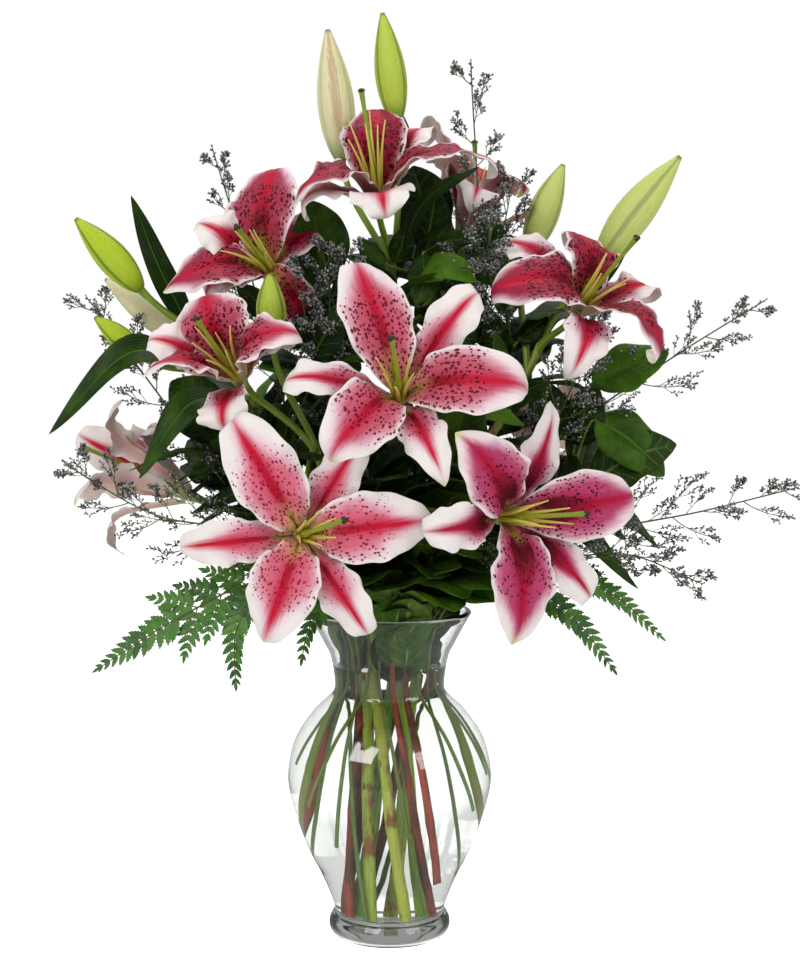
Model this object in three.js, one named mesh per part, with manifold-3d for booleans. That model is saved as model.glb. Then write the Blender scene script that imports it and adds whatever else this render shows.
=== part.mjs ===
// A glass urn of water with a mixed bouquet of lilies, lemon leaf, fern and sea lavender.
// Millimetres, +Z up, the viewer looks along +Y.
// The origin is the centre of the flat underside of the vase's foot.
import * as THREE from 'three';
import { mergeVertices } from 'three/addons/utils/BufferGeometryUtils.js';
import Module from 'manifold-3d';

const wasm = await Module();
wasm.setup();

// ---------------------------------------------------------------- driving dimensions
const GAP = 0.3; // clearance kept between pieces that touch
const SEAT_GAP = 0.4; // from a pedicel's end to the flower or bud that it carries

// Vase: outside radius and height at the points that shape it, from foot to rim.
const VASE_OUTLINE = [
  [39.5, 0], [42.3, 4], [42.6, 9], [40.6, 13.5], [38.6, 17], [42.6, 29.5], [49.3, 45],
  [57.4, 61], [66, 85], [71.6, 110.5], [67.1, 137], [54.5, 157], [44.5, 167], [39.2, 173],
  [38.5, 181], [41.3, 197.7], [46.2, 208], [57.2, 228.6],
];
const VASE_SAMPLES = 16;
const VASE_SIDES = 20;
const OUTLINE_STEPS = 200; // how finely the outline is searched for the radius at a height
const WALL = 3;
const WALL_START = 27; // height above which the inside follows the outside
const FLOOR = 12; // thickness of the solid glass base
const FLOOR_OUTLINE = [[0, FLOOR], [28, FLOOR], [33, 16]];
const STEM_LIFT = 0.9; // height of a leaning stem's middle above the floor it stands on
const LEAN_GAP = 0.4; // from the glass to the foot of a stem that leans on it
const WATER_LEVEL = 192;
const MENISCUS = 2; // how far below the water level its edge meets the glass
const NECK_HEIGHT = 181;
const MOUTH_HEIGHT = 232;
const MOUTH_INDEX = 3; // which point of a stem's curve stands in the mouth

// A stem that stands on the floor turns by this angle, in degrees, between there and the neck.
const SPIRAL = 80;
const LILY_RING = { floor: 17, neck: 14, mouth: 19 };
const FILLER_RING = { floor: 24, neck: 28, mouth: 40 };

// Lily blooms.
const RECEPTACLE = { length: 8, back: 3.2, front: 6, sides: 6, segments: 1 };
// Three wide tepals stand in front of three narrow ones. arm is how far a tepal runs straight
// before it turns, flare how far it leans out at its foot, and forward where it leaves the foot.
const WIDE_TEPAL = { width: 45, thickness: 1.5, columns: 2, arm: 38, flare: 0.35, forward: 6 };
const NARROW_TEPAL = { width: 29, thickness: 1.6, columns: 1, arm: 38, flare: 0.75, forward: 0 };
const TEPAL_ROWS = 4;
const TEPAL_RING = 4.8; // radius of the ring of tepal feet
const TEPAL_CUP = { foot: 0.2, tip: -0.1 }; // rise of the margins per millimetre of half width
const STYLE = { radius: 1.7, stigma: 3, arm: 40, sides: 4, segments: 3 };

// A petal, leaf or bud is as wide as a stretch of half a sine wave. foot is the share of the wave
// where the stretch starts, tip where it ends, and peak over 1 moves the widest place outwards.
const TEPAL_SHAPE = { foot: 0.02, tip: 0.975, peak: 1.15, fullness: 0.8 };
const LEAF_SHAPE = { foot: 0.1, tip: 0.975, peak: 0.9, fullness: 0.8 };
const LEMON_LEAF_SHAPE = { foot: 0.01, tip: 0.975, peak: 0.9, fullness: 0.8 };
const BUD_SHAPE = { foot: 0.09, tip: 0.95, peak: 1.1, fullness: 0.85 };
const BUD = { sides: 7, segments: 5 };
const LEAF = { thickness: 1.4, rows: 6 };

// Stems: the radius at the foot and at the top, and into how many flat faces a rod is divided.
const LILY_STEM = { foot: 3.5, top: 2.8, sides: 6, segments: 8 };
// arm is a share of a pedicel's length, step a share of the stem's, rise how steeply it leaves.
const PEDICEL = { foot: 2.6, top: 2.3, arm: 0.38, step: 0.02, rise: 0.8, sides: 4, segments: 4 };
const WOODY_STEM = { foot: 2.8, top: 1.3, sides: 4, segments: 9 };
const FERN_STALK = { foot: 1.5, top: 0.8, sides: 4, segments: 7 };
const LAVENDER_STEM = { foot: 1.5, top: 0.7, sides: 4, segments: 9 };
const DIVERGENCE = 137.5; // degrees about the stem from one leaf or twig to the next

const FACING = { sideways: 0.8, up: 0.6 }; // which way leaves and fronds show their upper faces
const REAR_DEPTH = 60; // pieces that end further back than this face the rear
const SHARE_STEPS = 100; // how finely a stem is searched for where a pedicel leaves it

const COLOURS = {
  glass: 0xdfe8e4, water: 0xeef6f2, stem: 0x6f8f3a, bark: 0x6b3a26, bloom: 0xd9668f,
  bud: 0xb4c84a, cream: 0xe6e2c2, leaf: 0x2f5a20, lemonLeaf: 0x24451c, fern: 0x3c7a2c,
  lavender: 0x70787a,
};

// Each bloom: where its foot sits, which way it faces, where its style ends, and its tepals.
// A tepal is the tip's offset from the foot in x, y and z, then how far it rolls back in degrees.
const BLOOMS = {
  bloom_centre: {
    foot: [6, -80, 380], facing: [0, -0.9, 0.42], style: [-5, -82, 41],
    wide: [[-28, 0, 89, 25], [80, -40, 9, 35], [-42, -60, -32, 30]],
    narrow: [[54, -5, 68, 70], [28, -48, -48, 25], [-76, -14, 8, 95]],
  },
  bloom_lower_left: {
    foot: [-57, -85, 293], facing: [0.05, -0.99, 0.1], style: [30, -82, 18],
    wide: [[-42, -30, 76, 25], [84, -27, 12, 30], [-22, -40, -62, 25]],
    narrow: [[38, -8, 62, 30], [43, -22, -62, 25], [-78, -12, -7, 45]],
  },
  bloom_lower_right: {
    foot: [71, -72, 303], facing: [0.5, -0.86, 0.08], style: [52, -66, 9],
    wide: [[-26, -50, 57, 30], [88, -4, 15, 30], [10, -43, -76, 25]],
    narrow: [[36, -3, 75, 30], [59, -4, -55, 35], [-58, -52, -4, 90]],
  },
  bloom_left: {
    foot: [-99, -50, 392], facing: [-0.3, -0.8, 0.5], style: [-22, -70, 41],
    wide: [[-21, -2, 57, 50], [-56, -50, 8, 30], [44, -46, 30, 50]],
    narrow: [[-62, -20, 24, 60], [40, 2, 24, 80], [-3, -40, -39, 110]],
  },
  bloom_upper_left: {
    foot: [-81, -5, 465], facing: [-0.25, -0.85, 0.4], style: [-18, -70, 27],
    wide: [[3, 10, 70, 30], [-70, -33, -12, 35], [34, -10, -30, 70]],
    narrow: [[-51, -7, 32, 55], [33, 25, 16, 120], [-42, 6, -22, 60]],
  },
  bloom_top: {
    foot: [-8, 5, 512], facing: [-0.1, -0.62, 0.78], style: [-11, -28, 74],
    wide: [[0, 32, 67, 45], [81, -25, 18, 60], [-54, -43, 2, 40]],
    narrow: [[38, 30, 43, 80], [7, -54, -22, 90], [-53, -24, -16, 100]],
  },
  bloom_right: {
    foot: [126, -20, 436], facing: [0.4, -0.7, 0.6], style: [34, -58, 49],
    wide: [[-4, 16, 52, 50], [-61, -36, 11, 45], [50, -40, -36, 90]],
    narrow: [[-54, 30, 36, 110], [-10, -42, -44, 60], [51, 18, 8, 80]],
  },
  bloom_top_rear: {
    foot: [52, 62, 490], facing: [0.3, 0.3, 0.9], style: [10, 16, 72],
    wide: [[-22, 4, 60, 40], [50, -4, 34, 60], [8, 58, 50, 50]],
    narrow: [[62, 16, 6, 130], [-34, 34, 84, 70], [4, -46, 18, 90]],
  },
  bloom_rear_left: {
    foot: [-142, 15, 310], facing: [-0.88, 0.05, 0.42], style: [-74, -5, 34],
    wide: [[-46, -8, 66, 60], [-76, -28, 0, 30], [-50, 60, 30, 50]],
    narrow: [[-14, -16, 52, 110], [-80, 28, 42, 40], [-48, -4, -44, 70]],
  },
  bloom_rear_right: {
    foot: [116, 72, 340], facing: [0.35, 0.9, 0.15], style: [22, 66, 12],
    wide: [[58, 34, 24, 80], [-34, 48, 36, 50], [2, 58, -44, 50]],
    narrow: [[-40, 52, -24, 60], [20, 42, 50, 60], [44, 44, -34, 60]],
  },
};

// Each bud: foot, tip, widest radius and colour.
const BUDS = {
  bud_left_upper: { foot: [-170, -15, 453], tip: [-211, -30, 500], radius: 11 },
  bud_left_lower: { foot: [-172, -5, 408], tip: [-201, -18, 434], radius: 8 },
  bud_left_cream: { foot: [-150, 18, 420], tip: [-200, 24, 461], radius: 9.5, colour: 'cream' },
  bud_inner: { foot: [-79, -36, 420], tip: [-80, -44, 463], radius: 10 },
  bud_top_cream: { foot: [-34, 50, 546], tip: [-44, 52, 638], radius: 13, colour: 'cream' },
  bud_top_green: { foot: [5, 42, 573], tip: [-5, 42, 648], radius: 11 },
  bud_right_rear: { foot: [101, 58, 482], tip: [125, 60, 544], radius: 12.5 },
  bud_right_large: { foot: [147, 15, 475], tip: [201, 10, 545], radius: 15 },
};

// Lily stems: neck azimuth, points above the mouth, and which point each flower or bud leaves.
const LILY_STEMS = {
  lily_stem_left_front: {
    azimuth: 225, path: [[-34, -26, 290], [-50, -30, 345]],
    carries: { bloom_lower_left: 1, bloom_left: 1, bud_inner: 1 },
  },
  lily_stem_front: {
    azimuth: 297, path: [[14, -22, 290], [22, -30, 338]],
    carries: { bloom_centre: 1, bloom_lower_right: 1 },
  },
  lily_stem_right: {
    azimuth: 9, path: [[45, 6, 310], [84, 8, 372], [104, 12, 410]],
    carries: { bloom_right: 2, bud_right_large: 2, bud_right_rear: 2, bloom_rear_right: 0 },
  },
  lily_stem_rear: {
    azimuth: 81, path: [[4, 26, 330], [4, 36, 430], [2, 40, 470]],
    carries: { bloom_top: 2, bud_top_cream: 2, bud_top_green: 2, bloom_top_rear: 1 },
  },
  lily_stem_left: {
    azimuth: 153, path: [[-50, 16, 300], [-92, 20, 366], [-112, 16, 398]],
    carries: {
      bloom_upper_left: 2, bud_left_upper: 2, bud_left_lower: 2, bud_left_cream: 2,
      bloom_rear_left: 0,
    },
  },
};

// Lily leaves: points along the midrib, the first one inside the stem it grows from, and width.
const LEAVES = {
  leaf_left_upright: { points: [[-137, 1, 424], [-158, -9, 468], [-175, -20, 516]], width: 18 },
  leaf_left_long: { points: [[-140, 4, 404], [-176, -22, 410], [-231, -30, 355]], width: 25 },
  leaf_left_drooping: { points: [[-96, 19, 372], [-134, -36, 376], [-168, -46, 326]], width: 24 },
  leaf_under_bud: { points: [[126, 14, 440], [150, 22, 466], [172, 12, 500]], width: 18 },
  leaf_front: { points: [[19, -28, 322], [58, -43, 371], [90, -54, 362]], width: 20 },
  leaf_inner_upright: { points: [[88, 9, 380], [76, -4, 410], [72, -14, 424]], width: 12 },
  leaf_top: { points: [[4, 38, 462], [24, 28, 514], [63, 20, 539]], width: 13 },
  leaf_top_bud: { points: [[4, 42, 540], [10, 46, 560], [-1, 48, 594]], width: 12 },
  leaf_low_left: { points: [[-36, -26, 296], [-84, -16, 318], [-136, -20, 300]], width: 22 },
  leaf_low_right: { points: [[30, 5, 276], [104, -14, 306], [170, -30, 249]], width: 24 },
};

// Lemon-leaf sprigs: neck azimuth, points above the mouth, how many leaves. A stem that doesn't
// reach the floor leans on the glass, at an azimuth and a height.
const LEMON_LEAVES = {
  lemon_leaf_right: { azimuth: 17, lean: [8, 70], path: [[96, 22, 290], [142, 10, 318]], leaves: 6 },
  lemon_leaf_right_rear: { azimuth: 51, path: [[64, 46, 310], [84, 38, 392], [84, 28, 436]], leaves: 8 },
  lemon_leaf_rear: { azimuth: 103, path: [[10, 62, 330], [36, 58, 440], [28, 50, 486]], leaves: 9 },
  lemon_leaf_top: { azimuth: 120, path: [[-40, 52, 340], [-42, 26, 420], [-46, 12, 456]], leaves: 9 },
  lemon_leaf_left_rear: {
    azimuth: 137, lean: [158, 58], leaves: 7, path: [[-70, 66, 310], [-110, 84, 380]],
  },
  lemon_leaf_left: { azimuth: 171, lean: [190, 78], path: [[-86, 6, 300], [-120, 0, 350]], leaves: 6 },
  lemon_leaf_front_left: { azimuth: 274, path: [[-8, -50, 280], [-16, -54, 336]], leaves: 6 },
  lemon_leaf_front: {
    azimuth: 291, lean: [318, 44], leaves: 6, path: [[28, -50, 272], [40, -52, 326]],
  },
};
// tilt is the angle between a leaf and its twig, first the share of the twig above the mouth that
// is bare, and overlap how far the last leaf reaches back into its end.
const LEMON_LEAF = {
  length: 70, width: 43, thickness: 1.4, rows: 3, tilt: 62, first: 0.08, petiole: 0.4, overlap: 2,
  arch: 3, droop: 6,
};

// Fern fronds: neck azimuth, points above the mouth, the frond's widest reach to each side.
const FERNS = {
  fern_left: {
    azimuth: 206, lean: [198, 124], reach: 30, path: [[-84, -42, 256], [-140, -56, 234], [-198, -62, 198]],
  },
  fern_left_front: {
    azimuth: 240, lean: [214, 100], reach: 20, path: [[-70, -78, 262], [-98, -94, 236], [-100, -98, 193]],
  },
  fern_front: {
    azimuth: 257, reach: 14, path: [[-34, -70, 250], [-52, -88, 232], [-58, -92, 208]],
  },
  fern_right: {
    azimuth: 309, lean: [330, 96], reach: 18, path: [[76, -58, 258], [120, -66, 236], [151, -70, 198]],
  },
  fern_right_far: {
    azimuth: 343, lean: [346, 116], reach: 17, path: [[96, -16, 262], [150, -20, 246], [190, -20, 212]],
  },
  fern_rear: {
    azimuth: 86, reach: 30, path: [[-8, 76, 270], [-20, 116, 270], [-30, 156, 226]],
  },
};
const FERN_START = 0.17; // share of the stalk above the mouth that is bare
const PINNAE = 9; // pairs of leaflets, drawn as notches in the frond's outline
const FROND = { thickness: 1.2, points: 5, notch: 0.3, taper: 0.8, tip: 1 };

// Sea lavender sprays: neck azimuth, points above the mouth, reach of the side twigs.
const LAVENDERS = {
  sea_lavender_right: {
    azimuth: 0, lean: [2, 100], reach: 34, path: [[120, -4, 278], [220, -2, 300], [285, 0, 316]],
  },
  sea_lavender_right_low: {
    azimuth: 326, lean: [340, 52], reach: 26, path: [[90, -36, 262], [160, -22, 272], [217, -12, 250]],
  },
  sea_lavender_right_high: {
    azimuth: 34, reach: 34, path: [[100, 30, 330], [190, 18, 400], [262, 12, 446]],
  },
  sea_lavender_top: {
    azimuth: 69, reach: 30, path: [[36, 56, 340], [62, 44, 470], [57, 30, 612]],
  },
  sea_lavender_upper_left: {
    azimuth: 154, reach: 26, path: [[-70, 44, 350], [-100, 34, 470], [-124, 24, 552]],
  },
  sea_lavender_left: {
    azimuth: 189, lean: [176, 46], reach: 28, path: [[-100, -4, 300], [-160, 2, 380], [-210, 4, 448]],
  },
  sea_lavender_left_low: {
    azimuth: 223, lean: [232, 74], reach: 32, path: [[-90, -40, 286], [-160, -30, 300], [-222, -12, 332]],
  },
};
// The twigs start at a share of the spray above the mouth, lean between along and outwards, and
// shorten towards its end. Each thickens outwards, where its tiny flowers crowd.
const TWIGS = { count: 7, start: 0.3, along: 0.8, outwards: 0.6, longest: 1, shortest: 0.45 };
const TWIG = { foot: 0.6, top: 1.6, sides: 3, segments: 1 };

// ---------------------------------------------------------------- small helpers
const vector = (p) => new THREE.Vector3(p[0], p[1], p[2]);
const radians = THREE.MathUtils.degToRad;
const mix = THREE.MathUtils.lerp;

// Any vector square to the one given.
function squareTo(direction) {
  const helper = Math.abs(direction.z) < 0.9 ? new THREE.Vector3(0, 0, 1) : new THREE.Vector3(1, 0, 0);
  return helper.cross(direction).normalize();
}

// A three.js geometry as a closed solid: shared corners merged, collapsed triangles dropped.
function toSolid(geometry) {
  const bare = geometry.clone();
  bare.deleteAttribute('normal');
  bare.deleteAttribute('uv');
  const merged = mergeVertices(bare);
  const corners = [];
  for (let i = 0; i < merged.index.count; i += 3) {
    const [a, b, c] = [merged.index.getX(i), merged.index.getX(i + 1), merged.index.getX(i + 2)];
    if (a !== b && b !== c && c !== a) {
      corners.push(a, b, c);
    }
  }
  const vertProperties = new Float32Array(merged.attributes.position.array);
  const triVerts = new Uint32Array(corners);
  return new wasm.Manifold(new wasm.Mesh({ numProp: 3, vertProperties, triVerts }));
}

function toGeometry(solid) {
  const mesh = solid.getMesh();
  const geometry = new THREE.BufferGeometry();
  geometry.setAttribute('position', new THREE.BufferAttribute(mesh.vertProperties, 3));
  geometry.setIndex(new THREE.BufferAttribute(mesh.triVerts, 1));
  return geometry;
}

function moveVertices(geometry, place) {
  const position = geometry.attributes.position;
  for (let i = 0; i < position.count; i += 1) {
    const p = place(position.getX(i), position.getY(i), position.getZ(i));
    position.setXYZ(i, p.x, p.y, p.z);
  }
  return geometry;
}

// Which end of a rod or blade a point at height y of its unit box stands at: -1, 0 or 1.
const endAt = (y) => (Math.abs(y) > 0.49 ? Math.sign(y) : 0);

const joined = (solids) => solids.reduce((whole, solid) => whole.add(solid));

// The largest body of a solid that a cut may have split.
function largestBody(solid) {
  const bodies = solid.decompose();
  return bodies.reduce((best, body) => (body.volume() > best.volume() ? body : best));
}

// A round rod of changing radius along a curve. margin makes it fatter and longer all over.
function rod(curve, radiusAt, { sides, segments }, margin = 0) {
  const frames = curve.computeFrenetFrames(segments, false);
  const points = curve.getSpacedPoints(segments);
  return toSolid(moveVertices(new THREE.CylinderGeometry(1, 1, 1, sides, segments), (x, y, z) => {
    const i = Math.round((y + 0.5) * segments);
    const radius = radiusAt(i / segments) + margin;
    return points[i].clone()
      .addScaledVector(frames.normals[i], x * radius)
      .addScaledVector(frames.binormals[i], -z * radius)
      .addScaledVector(frames.tangents[i], endAt(y) * margin);
  }));
}

const taper = (size) => (u) => mix(size.foot, size.top, u);

// The point at a share of a rod's length on its middle line, which is a chain of segments.
function onRod(curve, segments, share) {
  const points = curve.getSpacedPoints(segments);
  const index = Math.min(Math.floor(share * segments), segments - 1);
  return points[index].clone().lerp(points[index + 1], share * segments - index);
}

// A thin blade along a curve. sideways is the direction across it, outlineAt(v) its half width,
// and cupAt(v) how far its margins rise for each millimetre of half width.
function blade(curve, sideways, size, margin = 0) {
  const geometry = new THREE.BoxGeometry(1, 1, 1, size.columns, size.rows, 1);
  return toSolid(moveVertices(geometry, (x, y, z) => {
    const v = y + 0.5;
    const along = curve.getTangent(v);
    const across = sideways.clone().addScaledVector(along, -sideways.dot(along)).normalize();
    const face = across.clone().cross(along);
    const halfWidth = size.outlineAt(v) + margin;
    const rise = Math.abs(2 * x) * size.cupAt(v) * size.outlineAt(v);
    return curve.getPoint(v)
      .addScaledVector(across, 2 * x * halfWidth)
      .addScaledVector(face, rise + 2 * z * (size.thickness / 2 + margin))
      .addScaledVector(along, endAt(y) * margin);
  }));
}

// Half width, at each share of its length, of a piece so wide at its widest.
const swelling = (width, shape) => (v) => {
  const wave = Math.sin(Math.PI * mix(shape.foot, shape.tip, v ** shape.peak));
  return (width / 2) * wave ** shape.fullness;
};

// ---------------------------------------------------------------- vase and water
const outline = new THREE.SplineCurve(VASE_OUTLINE.map(([r, z]) => new THREE.Vector2(r, z)));

// The outside of the glass moved outwards by offset, or inwards where it is negative.
function wall(offset) {
  const points = outline.getSpacedPoints(VASE_SAMPLES);
  return points.map((point, i) => {
    const before = points[Math.max(i - 1, 0)];
    const after = points[Math.min(i + 1, VASE_SAMPLES)];
    const slope = after.clone().sub(before).normalize();
    return new THREE.Vector2(point.x + slope.y * offset, point.y - slope.x * offset);
  });
}

// The inside of the glass moved inwards by inset, from the middle of the floor to a height.
function hollow(inset, top) {
  const floor = FLOOR_OUTLINE.map(([r, z]) => new THREE.Vector2(Math.max(r - inset, 0), z + inset));
  const inside = wall(-WALL - inset).filter((point) => point.y > WALL_START && point.y < top);
  return [...floor, ...inside];
}

// A profile of radius and height turned about the vertical axis.
const turned = (profile) => {
  const lathe = new THREE.LatheGeometry(profile, VASE_SIDES);
  return toSolid(lathe.rotateX(Math.PI / 2));
};

function makeVase(margin) {
  const outside = wall(margin);
  const rim = outside[VASE_SAMPLES];
  const top = new THREE.Vector2(rim.x, rim.y + margin);
  const lip = new THREE.Vector2(rim.x - WALL - 2 * margin, rim.y + margin);
  const middle = new THREE.Vector2(0, 0);
  return turned([middle, ...outside, top, lip, ...hollow(margin, rim.y - WALL).reverse()]);
}

function makeWater() {
  const inside = hollow(GAP, WATER_LEVEL - MENISCUS);
  const edge = inside[inside.length - 1];
  const surface = [new THREE.Vector2(edge.x, WATER_LEVEL), new THREE.Vector2(0, WATER_LEVEL)];
  return turned([...inside, ...surface]);
}

// ---------------------------------------------------------------- stems in the vase
// A point at an azimuth in degrees, a distance from the vase's axis and a height.
function stand(degrees, radius, height) {
  const angle = radians(degrees);
  return new THREE.Vector3(radius * Math.cos(angle), radius * Math.sin(angle), height);
}

// How far from the axis the middle of a stem of some radius is where it leans on the glass.
function leanRadius(height, stemRadius) {
  const glass = outline.getPoints(OUTLINE_STEPS).find((point) => point.y > height - stemRadius);
  return (glass.x - WALL) * Math.cos(Math.PI / VASE_SIDES) - stemRadius - LEAN_GAP;
}

// A stem's way from the floor or the glass through the neck, then along its own points.
function stemCurve(stem, ring, size) {
  const foot = stem.lean
    ? stand(stem.lean[0], leanRadius(stem.lean[1], size.foot), stem.lean[1])
    : stand(stem.azimuth + SPIRAL, ring.floor, FLOOR + STEM_LIFT);
  const neck = stand(stem.azimuth, ring.neck, NECK_HEIGHT);
  const middle = foot.clone().lerp(neck, 0.5);
  const mouth = stand(stem.azimuth, ring.mouth, MOUTH_HEIGHT);
  return new THREE.CatmullRomCurve3([foot, middle, neck, mouth, ...stem.path.map(vector)]);
}

// The share of a curve's length at which it passes a point.
function nearestShare(curve, point) {
  const shares = Array.from({ length: SHARE_STEPS + 1 }, (_, i) => i / SHARE_STEPS);
  const distance = (share) => curve.getPointAt(share).distanceTo(point);
  return shares.reduce((best, share) => (distance(share) < distance(best) ? share : best));
}

// The share of a filler's whole length that is a share of its length above the vase's mouth.
const aboveMouth = (curve, share) => mix(nearestShare(curve, curve.points[MOUTH_INDEX]), 1, share);

// Where a flower or bud joins its pedicel, and which way it points there.
function seatOf(name) {
  const bloom = BLOOMS[name];
  if (bloom) {
    const facing = vector(bloom.facing).normalize();
    return { facing, point: vector(bloom.foot).addScaledVector(facing, -RECEPTACLE.length - SEAT_GAP) };
  }
  const bud = BUDS[name];
  const facing = vector(bud.tip).sub(vector(bud.foot)).normalize();
  return { facing, point: vector(bud.foot).addScaledVector(facing, -SEAT_GAP) };
}

function makeLilyStem(stem, margin) {
  const curve = stemCurve(stem, LILY_RING, LILY_STEM);
  const solids = [rod(curve, taper(LILY_STEM), LILY_STEM, margin)];
  const lengths = stem.path.map((point) => nearestShare(curve, vector(point)));
  Object.entries(stem.carries).forEach(([name, index], i) => {
    const start = onRod(curve, LILY_STEM.segments, lengths[index] - PEDICEL.step * i);
    const seat = seatOf(name);
    const arm = PEDICEL.arm * start.distanceTo(seat.point);
    const leaving = seat.point.clone().sub(start).normalize();
    leaving.z += PEDICEL.rise;
    leaving.normalize();
    const pedicel = new THREE.CubicBezierCurve3(
      start, start.clone().addScaledVector(leaving, arm),
      seat.point.clone().addScaledVector(seat.facing, -arm), seat.point,
    );
    solids.push(rod(pedicel, taper(PEDICEL), PEDICEL, margin));
  });
  return { core: joined(solids) };
}

// ---------------------------------------------------------------- blooms, buds and lily leaves
function makeTepal(foot, facing, [x, y, z, roll], kind, margin) {
  const reach = new THREE.Vector3(x, y, z);
  const tip = foot.clone().add(reach);
  const outwards = reach.clone().normalize();
  const square = outwards.clone().addScaledVector(facing, -outwards.dot(facing)).normalize();
  const back = facing.clone().negate().addScaledVector(outwards, facing.dot(outwards)).normalize();
  const angle = radians(roll);
  const ending = outwards.clone().multiplyScalar(Math.cos(angle));
  ending.addScaledVector(back, Math.sin(angle));
  const leaning = facing.clone().addScaledVector(square, kind.flare).normalize();
  const start = foot.clone().addScaledVector(square, TEPAL_RING);
  start.addScaledVector(facing, kind.forward);
  const leave = start.clone().addScaledVector(leaning, kind.arm);
  const arrive = tip.clone().addScaledVector(ending, -kind.arm);
  const curve = new THREE.CubicBezierCurve3(start, leave, arrive, tip);
  const size = {
    ...kind, rows: TEPAL_ROWS, outlineAt: swelling(kind.width, TEPAL_SHAPE),
    cupAt: (v) => mix(TEPAL_CUP.foot, TEPAL_CUP.tip, v),
  };
  return blade(curve, square.clone().cross(facing).normalize(), size, margin);
}

function makeBloom(bloom, margin) {
  const foot = vector(bloom.foot);
  const facing = vector(bloom.facing).normalize();
  const back = foot.clone().addScaledVector(facing, -RECEPTACLE.length);
  const front = foot.clone().addScaledVector(facing, RECEPTACLE.length);
  const receptacleSize = { foot: RECEPTACLE.back, top: RECEPTACLE.front };
  const middle = new THREE.LineCurve3(back, front);
  const solids = [rod(middle, taper(receptacleSize), RECEPTACLE, margin)];
  bloom.wide.forEach((tip) => solids.push(makeTepal(foot, facing, tip, WIDE_TEPAL, margin)));
  bloom.narrow.forEach((tip) => solids.push(makeTepal(foot, facing, tip, NARROW_TEPAL, margin)));

  const styleCurve = new THREE.QuadraticBezierCurve3(
    foot, foot.clone().addScaledVector(facing, STYLE.arm), foot.clone().add(vector(bloom.style)),
  );
  const styleRadius = (u) => (u > 0.99 ? STYLE.stigma : STYLE.radius);
  solids.push(rod(styleCurve, styleRadius, STYLE, margin));
  return { soft: joined(solids) };
}

function makeBud(bud, margin) {
  const curve = new THREE.LineCurve3(vector(bud.foot), vector(bud.tip));
  return { soft: rod(curve, swelling(2 * bud.radius, BUD_SHAPE), BUD, margin) };
}

// The direction across a leaf or frond that shows its upper face to the nearer side.
function acrossTowards(points) {
  const [first, last] = [vector(points[0]), vector(points[points.length - 1])];
  const side = last.y > REAR_DEPTH ? 1 : -1;
  const outside = new THREE.Vector3(0, side * FACING.sideways, FACING.up);
  return last.sub(first).cross(outside).normalize();
}

function makeLeaf(leaf, margin) {
  const curve = new THREE.CatmullRomCurve3(leaf.points.map(vector));
  const size = { ...LEAF, columns: 1, outlineAt: swelling(leaf.width, LEAF_SHAPE), cupAt: () => 0 };
  return { soft: blade(curve, acrossTowards(leaf.points), size, margin) };
}

// ---------------------------------------------------------------- fillers
function makeLemonLeaf(sprig, margin) {
  const curve = stemCurve(sprig, FILLER_RING, WOODY_STEM);
  const core = rod(curve, taper(WOODY_STEM), WOODY_STEM, margin);
  const leaves = [];
  const lowest = aboveMouth(curve, LEMON_LEAF.first);
  for (let i = 0; i < sprig.leaves; i += 1) {
    const u = mix(lowest, 1, i / (sprig.leaves - 1));
    const along = curve.getTangentAt(u);
    const outwards = squareTo(along).applyAxisAngle(along, radians(DIVERGENCE * i));
    const last = i === sprig.leaves - 1;
    const tilt = last ? 0 : radians(LEMON_LEAF.tilt);
    const heading = along.clone().multiplyScalar(Math.cos(tilt));
    heading.addScaledVector(outwards, Math.sin(tilt));
    const foot = onRod(curve, WOODY_STEM.segments, u);
    foot.addScaledVector(heading, last ? -LEMON_LEAF.overlap : LEMON_LEAF.petiole);
    const middle = foot.clone().addScaledVector(heading, LEMON_LEAF.length / 2);
    middle.z += LEMON_LEAF.arch;
    const tip = foot.clone().addScaledVector(heading, LEMON_LEAF.length);
    tip.z -= LEMON_LEAF.droop;
    const size = {
      ...LEMON_LEAF, columns: 1, cupAt: () => 0,
      outlineAt: swelling(LEMON_LEAF.width, LEMON_LEAF_SHAPE),
    };
    const sideways = heading.clone().cross(last ? outwards : along).normalize();
    leaves.push(blade(new THREE.CatmullRomCurve3([foot, middle, tip]), sideways, size, margin));
  }
  return { core, soft: joined(leaves) };
}

function makeFern(fern, margin) {
  const curve = stemCurve(fern, FILLER_RING, FERN_STALK);
  const stretch = (from, to, count) => new THREE.CatmullRomCurve3(
    Array.from({ length: count }, (_, i) => curve.getPointAt(mix(from, to, i / (count - 1)))),
  );
  const start = aboveMouth(curve, FERN_START);
  const bare = stretch(0, start, FERN_STALK.segments + 1);
  const core = rod(bare, taper(FERN_STALK), FERN_STALK, margin);
  const outlineAt = (v) => {
    const notch = Math.round(v * 2 * PINNAE) % 2 === 0 ? FROND.notch : 1;
    return Math.max(fern.reach * notch * (1 - v) ** FROND.taper, FROND.tip);
  };
  const size = { ...FROND, rows: 2 * PINNAE, columns: 1, outlineAt, cupAt: () => 0 };
  const frond = stretch(start, 1, FROND.points);
  return { core, soft: blade(frond, acrossTowards(fern.path), size, margin) };
}

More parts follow.
